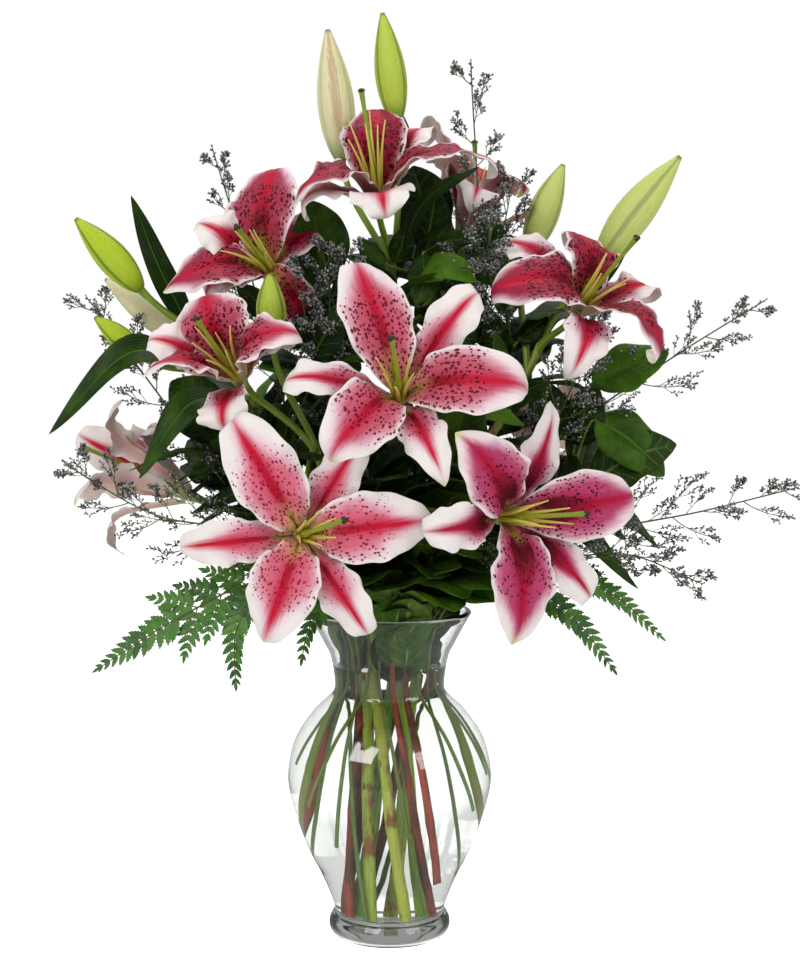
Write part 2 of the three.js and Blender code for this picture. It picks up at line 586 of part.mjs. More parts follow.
function makeLavender(spray, margin) {
  const curve = stemCurve(spray, FILLER_RING, LAVENDER_STEM);
  const core = rod(curve, taper(LAVENDER_STEM), LAVENDER_STEM, margin);
  const lowest = aboveMouth(curve, TWIGS.start);
  const twigs = [];
  for (let i = 0; i < TWIGS.count; i += 1) {
    const share = (i + 1) / (TWIGS.count + 1);
    const u = mix(lowest, 1, share);
    const along = curve.getTangentAt(u);
    const outwards = squareTo(along).applyAxisAngle(along, radians(DIVERGENCE * i));
    const foot = onRod(curve, LAVENDER_STEM.segments, u);
    const length = spray.reach * mix(TWIGS.longest, TWIGS.shortest, share);
    const tip = foot.clone().addScaledVector(along, length * TWIGS.along);
    tip.addScaledVector(outwards, length * TWIGS.outwards);
    twigs.push(rod(new THREE.LineCurve3(foot, tip), taper(TWIG), TWIG, margin));
  }
  return { core, soft: joined(twigs) };
}

// ---------------------------------------------------------------- assembly
const group = new THREE.Group();

function addMesh(name, solid, colour, finish = {}) {
  const material = new THREE.MeshStandardMaterial({
    color: COLOURS[colour], roughness: 0.6, metalness: 0, ...finish,
  });
  const mesh = new THREE.Mesh(toGeometry(solid), material);
  mesh.name = name;
  group.add(mesh);
}

const boxesMeet = (a, b) => [0, 1, 2].every((i) => a.min[i] < b.max[i] && b.min[i] < a.max[i]);

// Takes away from a solid every fatter twin in the list whose box it reaches.
function cutBack(solid, others) {
  const box = solid.boundingBox();
  const near = others.filter((other) => boxesMeet(box, other.box));
  return near.reduce((rest, other) => rest.subtract(other.grown), solid);
}

const twin = (name, solid) => ({ name, grown: solid, box: solid.boundingBox() });

// Every piece with its maker. Stems are kept whole, so they come first and cut what meets them.
const pieces = [
  [LILY_STEMS, makeLilyStem, 'stem'], [BLOOMS, makeBloom, 'bloom'], [BUDS, makeBud, 'bud'],
  [LEAVES, makeLeaf, 'leaf'], [LEMON_LEAVES, makeLemonLeaf, 'lemonLeaf'],
  [FERNS, makeFern, 'fern'], [LAVENDERS, makeLavender, 'lavender'],
].flatMap(([table, make, colour]) => Object.entries(table).map(([name, piece]) => ({
  name, colour: piece.colour ?? colour, exact: make(piece, 0), grown: make(piece, GAP),
})));

const stems = pieces.filter((piece) => piece.grown.core).map(({ name, grown }) => twin(name, grown.core));
const softs = [twin('vase', makeVase(GAP))];

addMesh('vase', makeVase(0), 'glass', { roughness: 0.05, transparent: true, opacity: 0.35 });
addMesh('water', cutBack(makeWater(), stems), 'water');
pieces.forEach(({ name, colour, exact, grown }) => {
  const parts = exact.core ? [exact.core] : [];
  if (exact.soft) {
    const otherStems = stems.filter((stem) => stem.name !== name);
    parts.push(cutBack(exact.soft, [...otherStems, ...softs]));
    softs.push(twin(name, grown.soft));
  }
  addMesh(name, largestBody(joined(parts)), colour);
});

export default group;
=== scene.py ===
"""Looks of a clear glass flower urn with lilies, lemon leaf, fern and sea lavender.

Shapes are worked out in millimetres in the part's frame and written to the meshes in metres.
"""

import logging
import math
import zlib
from collections.abc import Callable, Mapping, Sequence
from dataclasses import dataclass, field
from enum import Enum
from functools import partial

import bpy
import numpy as np
from mathutils.bvhtree import BVHTree
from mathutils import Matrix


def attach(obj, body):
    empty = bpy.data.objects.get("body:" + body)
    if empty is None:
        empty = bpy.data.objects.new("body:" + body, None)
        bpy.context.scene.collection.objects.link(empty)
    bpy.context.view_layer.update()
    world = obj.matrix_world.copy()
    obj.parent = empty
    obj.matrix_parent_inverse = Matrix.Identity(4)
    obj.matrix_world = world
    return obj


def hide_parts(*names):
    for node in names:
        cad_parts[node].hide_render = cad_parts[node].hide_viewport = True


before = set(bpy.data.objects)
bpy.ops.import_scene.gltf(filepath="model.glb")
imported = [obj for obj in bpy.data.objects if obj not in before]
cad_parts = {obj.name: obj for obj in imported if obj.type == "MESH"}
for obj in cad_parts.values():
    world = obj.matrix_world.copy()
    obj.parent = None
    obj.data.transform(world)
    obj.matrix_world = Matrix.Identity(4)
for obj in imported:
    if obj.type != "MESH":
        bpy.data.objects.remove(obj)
LOG = logging.getLogger("bouquet")

Array = np.ndarray
Row = Sequence[float]
Rows = Sequence[Row]
Colour = tuple[float, float, float, float]
Material = bpy.types.Material

MILLIMETRE = 0.001
DIVERGENCE = 137.5
SHARP_EDGE = math.radians(62)
BARK_TINT = (1.0, 0.0, 0.3)
CIRCLE = 2 * math.pi
UP = np.array([0.0, 0.0, 1.0])
OUTSIDE = np.array([0.0, -0.8, 0.6])
COLUMNS = np.array([0.0, 0.07, 0.17, 0.3, 0.44, 0.58, 0.72, 0.86, 1.0])
ACROSS = np.concatenate([-COLUMNS[:0:-1], COLUMNS])


# ---- vectors and curves
def unit(vectors: Array) -> Array:
    """Returns the vectors at length one."""
    return vectors / np.maximum(np.linalg.norm(vectors, axis=-1, keepdims=True), 1e-9)


def mix(first: float, last: float, share: float) -> float:
    """Returns the value a share of the way from first to last."""
    return first + (last - first) * share


def evenly(count: int) -> Array:
    """Returns so many even shares from 0 to 1."""
    return np.linspace(0.0, 1.0, count)


def ease(low: float, high: float, value: Array) -> Array:
    """Returns a soft step that is 0 at low and 1 at high."""
    share = np.clip((value - low) / (high - low), 0.0, 1.0)
    return share * share * (3.0 - 2.0 * share)


def wave(turns: Array) -> Array:
    """Returns the sine of angles given in whole turns."""
    return np.sin(CIRCLE * turns)


def angles_round(count: int) -> Array:
    """Returns so many even angles round a circle."""
    return np.linspace(0.0, CIRCLE, count, endpoint=False)


def reached(points: Array) -> Array:
    """Returns how far along a line each of its points lies."""
    return np.concatenate([[0.0], np.cumsum(np.linalg.norm(np.diff(points, axis=0), axis=1))])


def around(axis: Array, degrees: float) -> Array:
    """Returns a direction square to a unit axis, turned about it by an angle in degrees."""
    side = unit(np.cross(UP if abs(axis[2]) < 0.9 else np.array([1.0, 0.0, 0.0]), axis))
    return side * math.cos(math.radians(degrees)) + np.cross(axis, side) * math.sin(math.radians(degrees))


def bezier(corners: Sequence[Array], count: int) -> Array:
    """Works out a Bezier curve.

    Args:
        corners: Its three or four control points.
        count: How many points are wanted.

    Returns:
        The points.
    """
    level = [np.broadcast_to(corner, (count, 3)) for corner in corners]
    while len(level) > 1:
        level = [mix(a, b, evenly(count)[:, None]) for a, b in zip(level, level[1:])]
    return level[0]


def through(knots: Array, count: int, power: float) -> Array:
    """Works out the Catmull-Rom curve through all of some knots but the first and the last.

    Args:
        knots: The knots.
        count: How many points are wanted.
        power: How far a stretch's length counts: 0 is not at all, 0.5 keeps tight bends smooth.

    Returns:
        The points.
    """
    place = evenly(count) * (len(knots) - 3)
    spans = np.minimum(place.astype(int), len(knots) - 4)
    step = (place - spans)[:, None]
    p0, p1, p2, p3 = (knots[spans + i] for i in range(4))
    pairs = ((p0, p1), (p1, p2), (p2, p3))
    d0, d1, d2 = (np.linalg.norm(b - a, axis=1, keepdims=True) ** power for a, b in pairs)
    leave = ((p1 - p0) / d0 - (p2 - p0) / (d0 + d1) + (p2 - p1) / d1) * d1
    arrive = ((p2 - p1) / d1 - (p3 - p1) / (d1 + d2) + (p3 - p2) / d2) * d1
    square = 3 * (p2 - p1) - 2 * leave - arrive
    return p1 + leave * step + square * step**2 + (2 * (p1 - p2) + leave + arrive) * step**3


def threaded(knots: Sequence[Row], count: int) -> Array:
    """Returns so many points of a smooth curve through all of some knots."""
    way = np.array(knots, float)
    return through(np.vstack([2 * way[0] - way[1], way, 2 * way[-1] - way[-2]]), count, 0.5)


def swelling(width: float, shape: Row, shares: Array) -> Array:
    """Works out the half width of a petal, leaf or bud along its length.

    Args:
        width: Its greatest width.
        shape: Where on half a sine wave it starts and ends, how far its widest place moves
            outwards, and how full it is.
        shares: The places along it, from 0 to 1.

    Returns:
        The half width at each place.
    """
    foot, tip, peak, fullness = shape
    wave = np.sin(math.pi * mix(foot, tip, shares**peak))
    return width / 2 * np.maximum(wave, 0.0) ** fullness


class Spine:
    """The middle line of a stem, measured along its length."""

    def __init__(self, points: Array) -> None:
        """Measures the line through some close points."""
        self.points, self.reached = points, reached(points)
        self.length = float(self.reached[-1])

    def at(self, shares: Array) -> Array:
        """Returns the points at some shares of the length."""
        places = np.atleast_1d(shares) * self.length
        return np.stack([np.interp(places, self.reached, self.points[:, i]) for i in range(3)], 1)

    def along(self, share: float) -> Array:
        """Returns the direction at a share of the length."""
        ends = self.at(np.array([max(share - 0.004, 0.0), min(share + 0.004, 1.0)]))
        return unit(ends[1] - ends[0])

    def nearest(self, point: Row) -> float:
        """Returns the share of the length, in hundredths, at which the line passes a point."""
        return float(np.argmin(np.linalg.norm(self.at(evenly(101)) - point, axis=1))) / 100


# ---- meshes
def placed(name: str, data: bpy.types.ID) -> bpy.types.Object:
    """Returns a new object that is in the scene."""
    body = bpy.data.objects.new(name, data)
    bpy.context.scene.collection.objects.link(body)
    return body


@dataclass
class Blade:
    """The middle surface of a thin petal or leaf.

    Attributes:
        middle: The points of its midrib.
        sideways: The direction across it.
        half: Its half width at each point of the midrib, or by row and place across.
        relief: How far each point rises from flat, by row and place across.
    """

    middle: Array
    sideways: Array
    half: Array
    relief: Array

    def surface(self) -> tuple[Array, Array]:
        """Returns the points by row and place across, and the way it faces at each row."""
        along = unit(np.gradient(self.middle, axis=0))
        across = unit(self.sideways - along * np.sum(along * self.sideways, axis=1, keepdims=True))
        face = np.cross(across, along)
        widths = self.half if self.half.ndim == 2 else self.half[:, None]
        flat = self.middle[:, None] + across[:, None] * (ACROSS[None, :] * widths)[..., None]
        return flat + face[:, None] * self.relief[..., None], face


class Draft:
    """Points and faces of one piece, gathered bit by bit and made into one mesh."""

    def __init__(self) -> None:
        """Starts empty."""
        self.points: list[Array] = []
        self.faces: list[Array] = []
        self.finishes: list[Array] = []
        self.marks: dict[str, list[Array]] = {"blade": [], "span": [], "tint": []}
        self.count = 0

    def add(self, points: Array, faces: Array, finish: Array | int, **marks: Array) -> None:
        """Adds points and the faces between them.

        Args:
            points: The points, one row each.
            faces: Four point numbers for each face.
            finish: The material's place in the piece's list, one for all or one for each face.
            **marks: What the materials read at each point: blade, span and tint.
        """
        self.points.append(points)
        self.faces.append(faces + self.count)
        self.finishes.append(np.broadcast_to(finish, len(faces)))
        for name, rows in self.marks.items():
            rows.append(np.broadcast_to(marks.get(name, np.zeros(3)), (len(points), 3)))
        self.count += len(points)

    def loft(self, rings: Array, finish: Array | int, **marks: Array) -> None:
        """Skins a row of rings that each have the same even number of points, and caps its ends.

        Args:
            rings: Points by ring and by place round the ring.
            finish: One material for all, or one for each place round the ring.
            **marks: What the materials read, by ring and place or the same all over.
        """
        rows, sides = rings.shape[:2]
        grid = np.arange(rows * sides).reshape(rows, sides)
        after = np.roll(grid, -1, axis=1)
        skin = np.stack([grid[:-1], after[:-1], after[1:], grid[1:]], axis=-1).reshape(-1, 4)
        rung = np.arange(sides // 2 - 1)
        cap = np.stack([rung, rung + 1, sides - 2 - rung, sides - 1 - rung], axis=1)
        kinds = np.broadcast_to(finish, sides)
        ends = np.full(len(cap), kinds[-1])
        faces = np.vstack([skin, cap[:, ::-1], cap + (rows - 1) * sides])
        flat = {name: np.broadcast_to(mark, rings.shape).reshape(-1, 3) for name, mark in marks.items()}
        self.add(rings.reshape(-1, 3), faces, np.concatenate([np.tile(kinds, rows - 1), ends, ends]), **flat)

    def rod(
        self, points: Array, radii: Row | Array, sides: int, finish: int, tint: Row = (0.0, 0.0, 0.5)
    ) -> None:
        """Adds a round rod along a line of points.

        Args:
            points: Its middle line.
            radii: Its radius at both ends, at each point, or at each point and place round it.
            sides: How many faces go round it, an even number.
            finish: Its material's place in the list.
            tint: What the materials read as tint.
        """
        along = unit(np.gradient(points, axis=0))
        sideways = [around(along[0], 0.0)]
        for direction in along:
            sideways.append(unit(sideways[-1] - direction * np.dot(sideways[-1], direction)))
        first = np.array(sideways[1:])
        second = np.cross(along, first)
        angles = angles_round(sides)
        reach = mix(*radii, evenly(len(points))) if isinstance(radii, tuple) else radii
        reach = np.broadcast_to(reach if reach.ndim == 2 else reach[:, None], (len(points), sides))
        right, ahead = reach * np.cos(angles), reach * np.sin(angles)
        length = np.broadcast_to(reached(points)[:, None], reach.shape)
        ridge = np.broadcast_to(np.cos(3 * angles), reach.shape)
        blade = np.stack([ridge, length / length[-1], np.full(reach.shape, tint[2])], -1)
        rings = points[:, None] + first[:, None] * right[..., None] + second[:, None] * ahead[..., None]
        self.loft(rings, finish, blade=blade, span=np.stack([right, ahead, length], -1), tint=np.array(tint))

    def sheet(
        self, blade: Blade, thickness: Array, finishes: tuple[int, int], tint: Row, seed: float
    ) -> None:
        """Adds a thin petal or leaf with an upper and an under face.

        Args:
            blade: Its middle surface.
            thickness: Its thickness, by row and by place across.
            finishes: The materials of the upper and the under face.
            tint: What the materials read as tint.
            seed: A number that sets its pattern apart.
        """
        surface, face = blade.surface()
        lift = face[:, None] * thickness[..., None] / 2
        rings = np.concatenate([surface + lift, (surface - lift)[:, ::-1]], axis=1)
        across = np.broadcast_to(np.concatenate([ACROSS, ACROSS[::-1]]), rings.shape[:2])
        length = np.broadcast_to(reached(blade.middle)[:, None], rings.shape[:2])
        widths = blade.half if blade.half.ndim == 1 else blade.half.mean(axis=1)
        place = np.stack([across, length / length[-1], np.full(across.shape, seed)], -1)
        span = np.stack([across * widths[:, None], length, np.full(across.shape, seed * 50)], -1)
        kinds = np.repeat(finishes, (len(ACROSS) - 1, len(ACROSS) + 1))
        self.loft(rings, kinds, blade=place, span=span, tint=np.array(tint))

    def piece(self, node: str, part: str, slot: str, materials: Sequence[Material]) -> None:
        """Makes the gathered points and faces into one piece that stands for a node.

        Args:
            node: The solid that it stands for.
            part: What it is of that solid. The piece's name is the two together.
            slot: The record's material slot. It is not used.
            materials: The materials that the faces' finishes number.
        """
        name = f"{node}_{part}"
        mesh = bpy.data.meshes.new(name)
        points = np.vstack(self.points) * MILLIMETRE
        faces = np.vstack(self.faces)
        mesh.vertices.add(len(points))
        mesh.vertices.foreach_set("co", points.astype(np.float32).ravel())
        mesh.loops.add(faces.size)
        mesh.loops.foreach_set("vertex_index", faces.astype(np.int32).ravel())
        mesh.polygons.add(len(faces))
        mesh.polygons.foreach_set("loop_start", np.arange(0, faces.size, 4, dtype=np.int32))
        mesh.polygons.foreach_set("material_index", np.concatenate(self.finishes).astype(np.int32))
        for mark, rows in self.marks.items():
            layer = mesh.attributes.new(mark, "FLOAT_VECTOR", "POINT")
            layer.data.foreach_set("vector", np.vstack(rows).astype(np.float32).ravel())
        for material in materials:
            mesh.materials.append(material)
        mesh.update(calc_edges=True)
        mesh.shade_smooth()
        mesh.set_sharp_from_angle(angle=SHARP_EDGE)
        body = placed(name, mesh)
        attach(body, "root")
        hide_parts(node)
        LOG.info("%s: %d faces", name, len(faces))


@dataclass
class Swarm:
    """Many small copies of one shape, each with its own place, axes, size and tone.

    Attributes:
        shape: The shape's rings, one long.
    """

    shape: Array
    copies: list[tuple] = field(default_factory=list)

    def add(self, place: Array, heading: Array, broad: Array, size: Row, tone: float) -> None:
        """Adds a copy at a place, along a heading and with a broad side."""
        self.copies.append((place, (heading, broad, np.cross(heading, broad)), size, (tone, 0.0, 0.0)))

    def join(self, draft: Draft, finish: int) -> None:
        """Puts the copies into a draft.

        Args:
            draft: The draft.
            finish: The material's place in its list.
        """
        model = Draft()
        model.loft(self.shape, 0)
        points, faces = model.points[0], model.faces[0]
        places, axes, sizes, tints = (np.array(rows) for rows in zip(*self.copies))
        span = (places[:, None] + np.einsum("pc,nc,ncd->npd", points, sizes, axes)).reshape(-1, 3)
        numbers = (np.arange(len(places)) * len(points))[:, None, None] + faces[None]
        blade = np.stack([points[:, 1] * 2, points[:, 0], 0 * points[:, 0]], axis=1)
        blade = np.tile(blade, (len(places), 1))
        tint = np.repeat(tints, len(points), axis=0)
        draft.add(span, numbers.reshape(-1, 4), finish, blade=blade, span=span, tint=tint)


class Thicket:
    """Surfaces that already stand in the bouquet, for later leaves to keep clear of."""

    def __init__(self) -> None:
        """Starts with no firm surfaces and no leaves."""
        self.surfaces: tuple[list, list] = ([], [])

    @staticmethod
    def _tree(surface: Array) -> tuple[Array, Array, BVHTree]:
        """Returns a surface's lowest and highest corner and its search tree."""
        grid = np.arange(surface[..., 0].size).reshape(surface.shape[:2])
        faces = np.stack([grid[:-1, :-1], grid[:-1, 1:], grid[1:, 1:], grid[1:, :-1]], -1).reshape(-1, 4)
        points = surface.reshape(-1, 3)
        return points.min(axis=0), points.max(axis=0), BVHTree.FromPolygons(points.tolist(), faces.tolist())

    def plant(self, surface: Array, leafy: bool = False) -> None:
        """Adds a surface, which is a leaf or something firmer."""
        self.surfaces[leafy].append(self._tree(surface))

    def crossings(self, surface: Array) -> tuple[int, ...]:
        """Returns how many firm surfaces and how many leaves a surface passes through."""
        low, high, tree = self._tree(surface)
        near = (
            [other for other in others if np.all(low < other[1]) and np.all(high > other[0])]
            for others in self.surfaces
        )
        return tuple(sum(1 for other in others if tree.overlap(other[2])) for others in near)


# ---- shader maths
Number = "Signal | float"


def maths(operation: str, swapped: bool = False) -> Callable[..., "Signal"]:
    """Returns a method that makes a Math node of a signal and another value, perhaps swapped."""

    def method(signal: "Signal", other: Number = 0.0) -> "Signal":
        """Returns the node's result."""
        first, second = (other, signal) if swapped else (signal, other)
        return signal.graph.node("Math", {"operation": operation}, {0: first, 1: second})

    return method


class Signal:
    """A shader socket that Python's operators turn into Math nodes."""

    __add__, __radd__ = maths("ADD"), maths("ADD", True)
    __sub__, __rsub__ = maths("SUBTRACT"), maths("SUBTRACT", True)
    __mul__, __rmul__ = maths("MULTIPLY"), maths("MULTIPLY", True)
    __abs__, sine, peak = maths("ABSOLUTE"), maths("SINE"), maths("MAXIMUM")

    def __init__(self, graph: "Graph", socket: bpy.types.NodeSocket) -> None:
        """Wraps a socket of a graph."""
        self.graph, self.socket = graph, socket

    def ramp(self, low: Number, high: Number) -> "Signal":
        """Returns a soft step from 0 at low to 1 at high, either way round."""
        return self.graph.node("MapRange", {"interpolation_type": "SMOOTHSTEP"}, {0: self, 1: low, 2: high})


class Graph:
    """The nodes of one material or of the world."""

    def __init__(self, name: str, owners: bpy.types.bpy_prop_collection = bpy.data.materials) -> None:
        """Starts a material, or a world, with an empty tree."""
        self.owner = owners.new(name)
        self.owner.use_nodes = True
        self.tree = self.owner.node_tree
        self.tree.nodes.clear()

    def node(
        self,
        kind: str,
        settings: Mapping[str, object] | None = None,
        inputs: Mapping[str | int, object] | None = None,
        output: str | int = 0,
    ) -> Signal:
        """Adds a node.

        Args:
            kind: Its type, without the common first part of the name.
            settings: Its settings, which are set first.
            inputs: Values or links of its sockets.
            output: The output that is wanted.

        Returns:
            That output.
        """
        made = self.tree.nodes.new("ShaderNode" + kind)
        for name, value in (settings or {}).items():
            setattr(made, name, value)
        for name, value in (inputs or {}).items():
            if isinstance(value, Signal):
                self.tree.links.new(value.socket, made.inputs[name])
            else:
                made.inputs[name].default_value = value
        return Signal(self, made.outputs[output])

    def parts(self, vector: Signal) -> list[Signal]:
        """Returns the three parts of a vector."""
        outputs = self.node("SeparateXYZ", None, {0: vector}).socket.node.outputs
        return [Signal(self, part) for part in outputs]

    def marks(self) -> list[list[Signal]]:
        """Returns the parts of the blade, tint and span that a mesh carries at each point."""
        names = [{"attribute_name": name} for name in ("blade", "tint", "span")]
        return [self.parts(self.node("Attribute", name, output="Vector")) for name in names]

    def vector(self, *parts: Number) -> Signal:
        """Returns a vector of three values."""
        return self.node("CombineXYZ", None, dict(enumerate(parts)))

    def noise(self, place: Signal | tuple[Number, ...], detail: float = 3.0, scale: float = 1.0) -> Signal:
        """Returns soft noise between 0 and 1."""
        at = self.vector(*place) if isinstance(place, tuple) else place
        return self.node("TexNoise", None, {"Vector": at, "Scale": scale, "Detail": detail})

    def cells(self, place: tuple[Number, ...], feature: str = "F1") -> Signal:
        """Returns how far it is to the nearest of some scattered points, or to a cell's edge."""
        return self.node("TexVoronoi", {"feature": feature}, {"Vector": self.vector(*place), "Scale": 1.0})

    def blend(self, share: Number, first: object, second: object) -> Signal:
        """Returns a colour that a share turns from first to second."""
        return self.node("Mix", {"data_type": "RGBA"}, {0: share, 6: first, 7: second}, 2)

    def either(self, share: Signal, first: Signal, second: Signal) -> Signal:
        """Returns a shader that a share turns from first to second."""
        return self.node("MixShader", None, {0: share, 1: first, 2: second})

    def ray(self, kind: str) -> Signal:
        """Returns what kind of ray looks."""
        return self.node("LightPath", output=kind)

    def by_ray(self, seen: Signal, spread: Signal, mirrored: Signal) -> Signal:
        """Returns a shader that is one when seen, one as a light and one in a mirror."""
        direct = self.either(self.ray("Is Diffuse Ray"), seen, spread)
        return self.either(self.ray("Glossy Depth").ramp(0.0, 1.0), direct, mirrored)

    def bump(self, height: Signal, distance: float) -> Signal:
        """Returns a normal tipped by a height of 1 for so many millimetres."""
        return self.node("Bump", None, {"Height": height, "Distance": distance * MILLIMETRE})

    def finish(self, shader: Signal, output: str = "OutputMaterial") -> Material:
        """Joins a shader to the output and returns the material."""
        end = self.tree.nodes.new("ShaderNode" + output)
        self.tree.links.new(shader.socket, end.inputs["Surface"])
        return self.owner

    def surface(
        self, colour: Signal, rough: Signal, height: Signal, relief: float, shine: float = 0.5
    ) -> Material:
        """Finishes the material with a Principled shader.

        Args:
            colour: Its colour.
            rough: Its roughness.
            height: What its surface rises with.
            relief: How many millimetres it rises for a height of 1.
            shine: How strongly it mirrors.

        Returns:
            The material.
        """
        sockets = {"Base Color": colour, "Roughness": rough, "Normal": self.bump(height, relief)}
        return self.finish(self.node("BsdfPrincipled", None, {**sockets, "Specular IOR Level": shine}))


def shade(red: float, green: float, blue: float) -> Colour:
    """Returns a linear colour from one given as it looks on a screen, from 0 to 255."""
    screen = [part / 255 for part in (red, green, blue)]
    return (*(part / 12.92 if part < 0.0404 else ((part + 0.055) / 1.055) ** 2.4 for part in screen), 1.0)


# ---- finishes
@dataclass(frozen=True)
class PetalFace:
    """The upper face of a tepal: white margins, a pink field, a crimson stripe and raised spots.

    It reads tint as how deep its pink is, how spotted it is, and 1 for a narrow tepal.
    """

    name: str
    pink: Colour
    deep: Colour
    stripe: Colour = shade(194, 12, 52)
    wine: Colour = shade(104, 0, 20)
    core: float = 0.12
    margin: Colour = shade(238, 230, 226)
    lilac: Colour = shade(226, 178, 196)
    flesh: Colour = shade(238, 190, 158)
    throat: Colour = shade(178, 92, 60)
    furrow: Colour = shade(150, 156, 30)
    tip: Colour = shade(220, 226, 150)
    freckle: Colour = shade(150, 8, 44)
    spot: Colour = shade(66, 0, 14)
    spot_spacing: Row = (2.1, 2.9)

    def dress(self) -> Material:
        """Returns the material."""
        graph = Graph(self.name)
        (across, along, _), (depth, spotted, narrow), (width, length, offset) = graph.marks()
        side = abs(across)
        streak = graph.noise((width * 0.7, length * 0.05, offset))
        cloud = graph.noise((width * 0.1, length * 0.07, offset))
        grain = graph.noise((width * 1.5, length * 1.2, offset), 2.0)
        ragged = (streak - 0.5) * 0.3 + (cloud - 0.5) * 0.4
        start = 0.38 + depth * (1 - narrow) * 0.26
        closing = along.ramp(start, start + 0.46) * (0.74 + narrow * 0.3)
        reach = side + ragged + closing - depth * (1 - narrow * 0.6) * 0.2 + narrow * 0.06
        colour = graph.blend(reach.ramp(1.35, 0.7) * 0.8, self.margin, self.lilac)
        field_depth = (depth + (grain - 0.5) * 0.6 - side * 0.15).ramp(-0.15, 1.0)
        colour = graph.blend(reach.ramp(1.04, 0.46), colour, graph.blend(field_depth, self.pink, self.deep))
        rim = (side + (streak - 0.5) * 0.12).ramp(0.82, 0.96)
        colour = graph.blend(rim * (0.84 - depth * 0.2), colour, self.margin)
        broad = along.ramp(0.66, 0.3) * along.ramp(0.1, 0.24)
        line = side + (streak - 0.5) * 0.14 - broad * (0.04 + depth * self.core)
        present = along.ramp(0.12, 0.3) * along.ramp(0.93, 0.7)
        halo = line.ramp(0.4, 0.02) * present * (along.ramp(0.15, 0.6) * 0.5 + 0.35)
        colour = graph.blend(halo, colour, graph.blend(broad * depth * 0.6, self.stripe, self.wine))
        darkest = graph.blend(broad * (0.3 + depth * 0.85), self.stripe, self.wine)
        colour = graph.blend(line.ramp(0.13, 0.03) * present, colour, darkest)
        inside = along + side * 0.12 + (cloud - 0.5) * 0.16 + narrow * 0.06
        inside = inside.ramp(0.4 - 0.12 * self.core, 0.1) * (0.92 - depth * 0.4)
        colour = graph.blend(inside, colour, graph.blend(depth, self.flesh, self.throat))
        colour = graph.blend(side.ramp(0.2, 0.06) * along.ramp(0.28, 0.16), colour, self.furrow)
        colour = graph.blend((along - side * 0.05).ramp(0.88, 1.0) * 0.75, colour, self.tip)
        wide, long = self.spot_spacing
        distance = graph.cells((width * (1 / wide), length * (1 / long), offset))
        chance = graph.parts(Signal(graph, distance.socket.node.outputs["Color"]))[0]
        drift = (cloud - 0.5) * 0.1
        region = along.ramp(0.05, 0.14) * (along + side * 0.05 + narrow * 0.12 + drift).ramp(0.8, 0.6)
        region = region * (side + drift).ramp(1.0, 0.9) * spotted
        spots = (distance - region * (chance * 0.26 + 0.27)).ramp(0.02, -0.08) * region.ramp(0.05, 0.25)
        colour = graph.blend(spots * 0.95, colour, graph.blend(depth.ramp(0.0, 0.6), self.freckle, self.spot))
        height = spots * 0.5 + streak * 0.3 + grain * 0.12
        return graph.surface(colour, 0.44 + streak * 0.16, height, 0.4, 0.16)


@dataclass(frozen=True)
class PetalBack:
    """The reverse of a tepal: dusty pink and white with a pale green midrib."""

    white: Colour = shade(238, 230, 222)
    pink: Colour = shade(232, 176, 176)
    deep: Colour = shade(176, 62, 80)
    rib: Colour = shade(206, 208, 152)

    def dress(self) -> Material:
        """Returns the material."""
        graph = Graph("petal_back")
        (across, along, _), (depth, _, _), (width, length, offset) = graph.marks()
        side = abs(across)
        streak = graph.noise((width * 0.8, length * 0.05, offset))
        flushed = (side + (streak - 0.5) * 0.7 - depth * 0.3).ramp(1.0, 0.2) * along.ramp(0.95, 0.6)
        colour = graph.blend(flushed * 0.8, self.white, graph.blend(depth, self.pink, self.deep))
        rib = side.ramp(0.16, 0.05) * along.ramp(0.9, 0.3)
        colour = graph.blend(rib.peak(along.ramp(0.22, 0.0)) * 0.75, colour, self.rib)
        height = streak * 0.5 + (width * 3.6).sine() * 0.08
        return graph.surface(colour, 0.5 + streak * 0.12, height, 0.4, 0.12)


@dataclass(frozen=True)
class SoftSkin:
    """A smooth growing skin that turns from one colour to another along its length.

    It reads tint's last part as a number that sets its pattern apart.
    """

    name: str
    foot: Colour
    top: Colour
    patch: Colour
    patchy: float = 0.5
    roughness: float = 0.45
    relief: float = 0.3

    def dress(self) -> Material:
        """Returns the material."""
        graph = Graph(self.name)
        (_, along, _), (_, _, seed), (x, y, length) = graph.marks()
        fibre = graph.noise((x * 0.9, y * 0.9, length * 0.08 + seed * 9))
        blotch = graph.noise((x * 0.16, y * 0.16, length * 0.06 + seed * 17), 2.0)
        colour = graph.blend(along, self.foot, self.top)
        colour = graph.blend(blotch.ramp(0.62 - 0.2 * self.patchy, 0.72) * 0.8, colour, self.patch)
        colour = graph.blend(fibre.ramp(0.35, 0.8) * 0.35, colour, self.foot)
        return graph.surface(colour, self.roughness + blotch * 0.12, fibre + blotch * 0.6, self.relief)


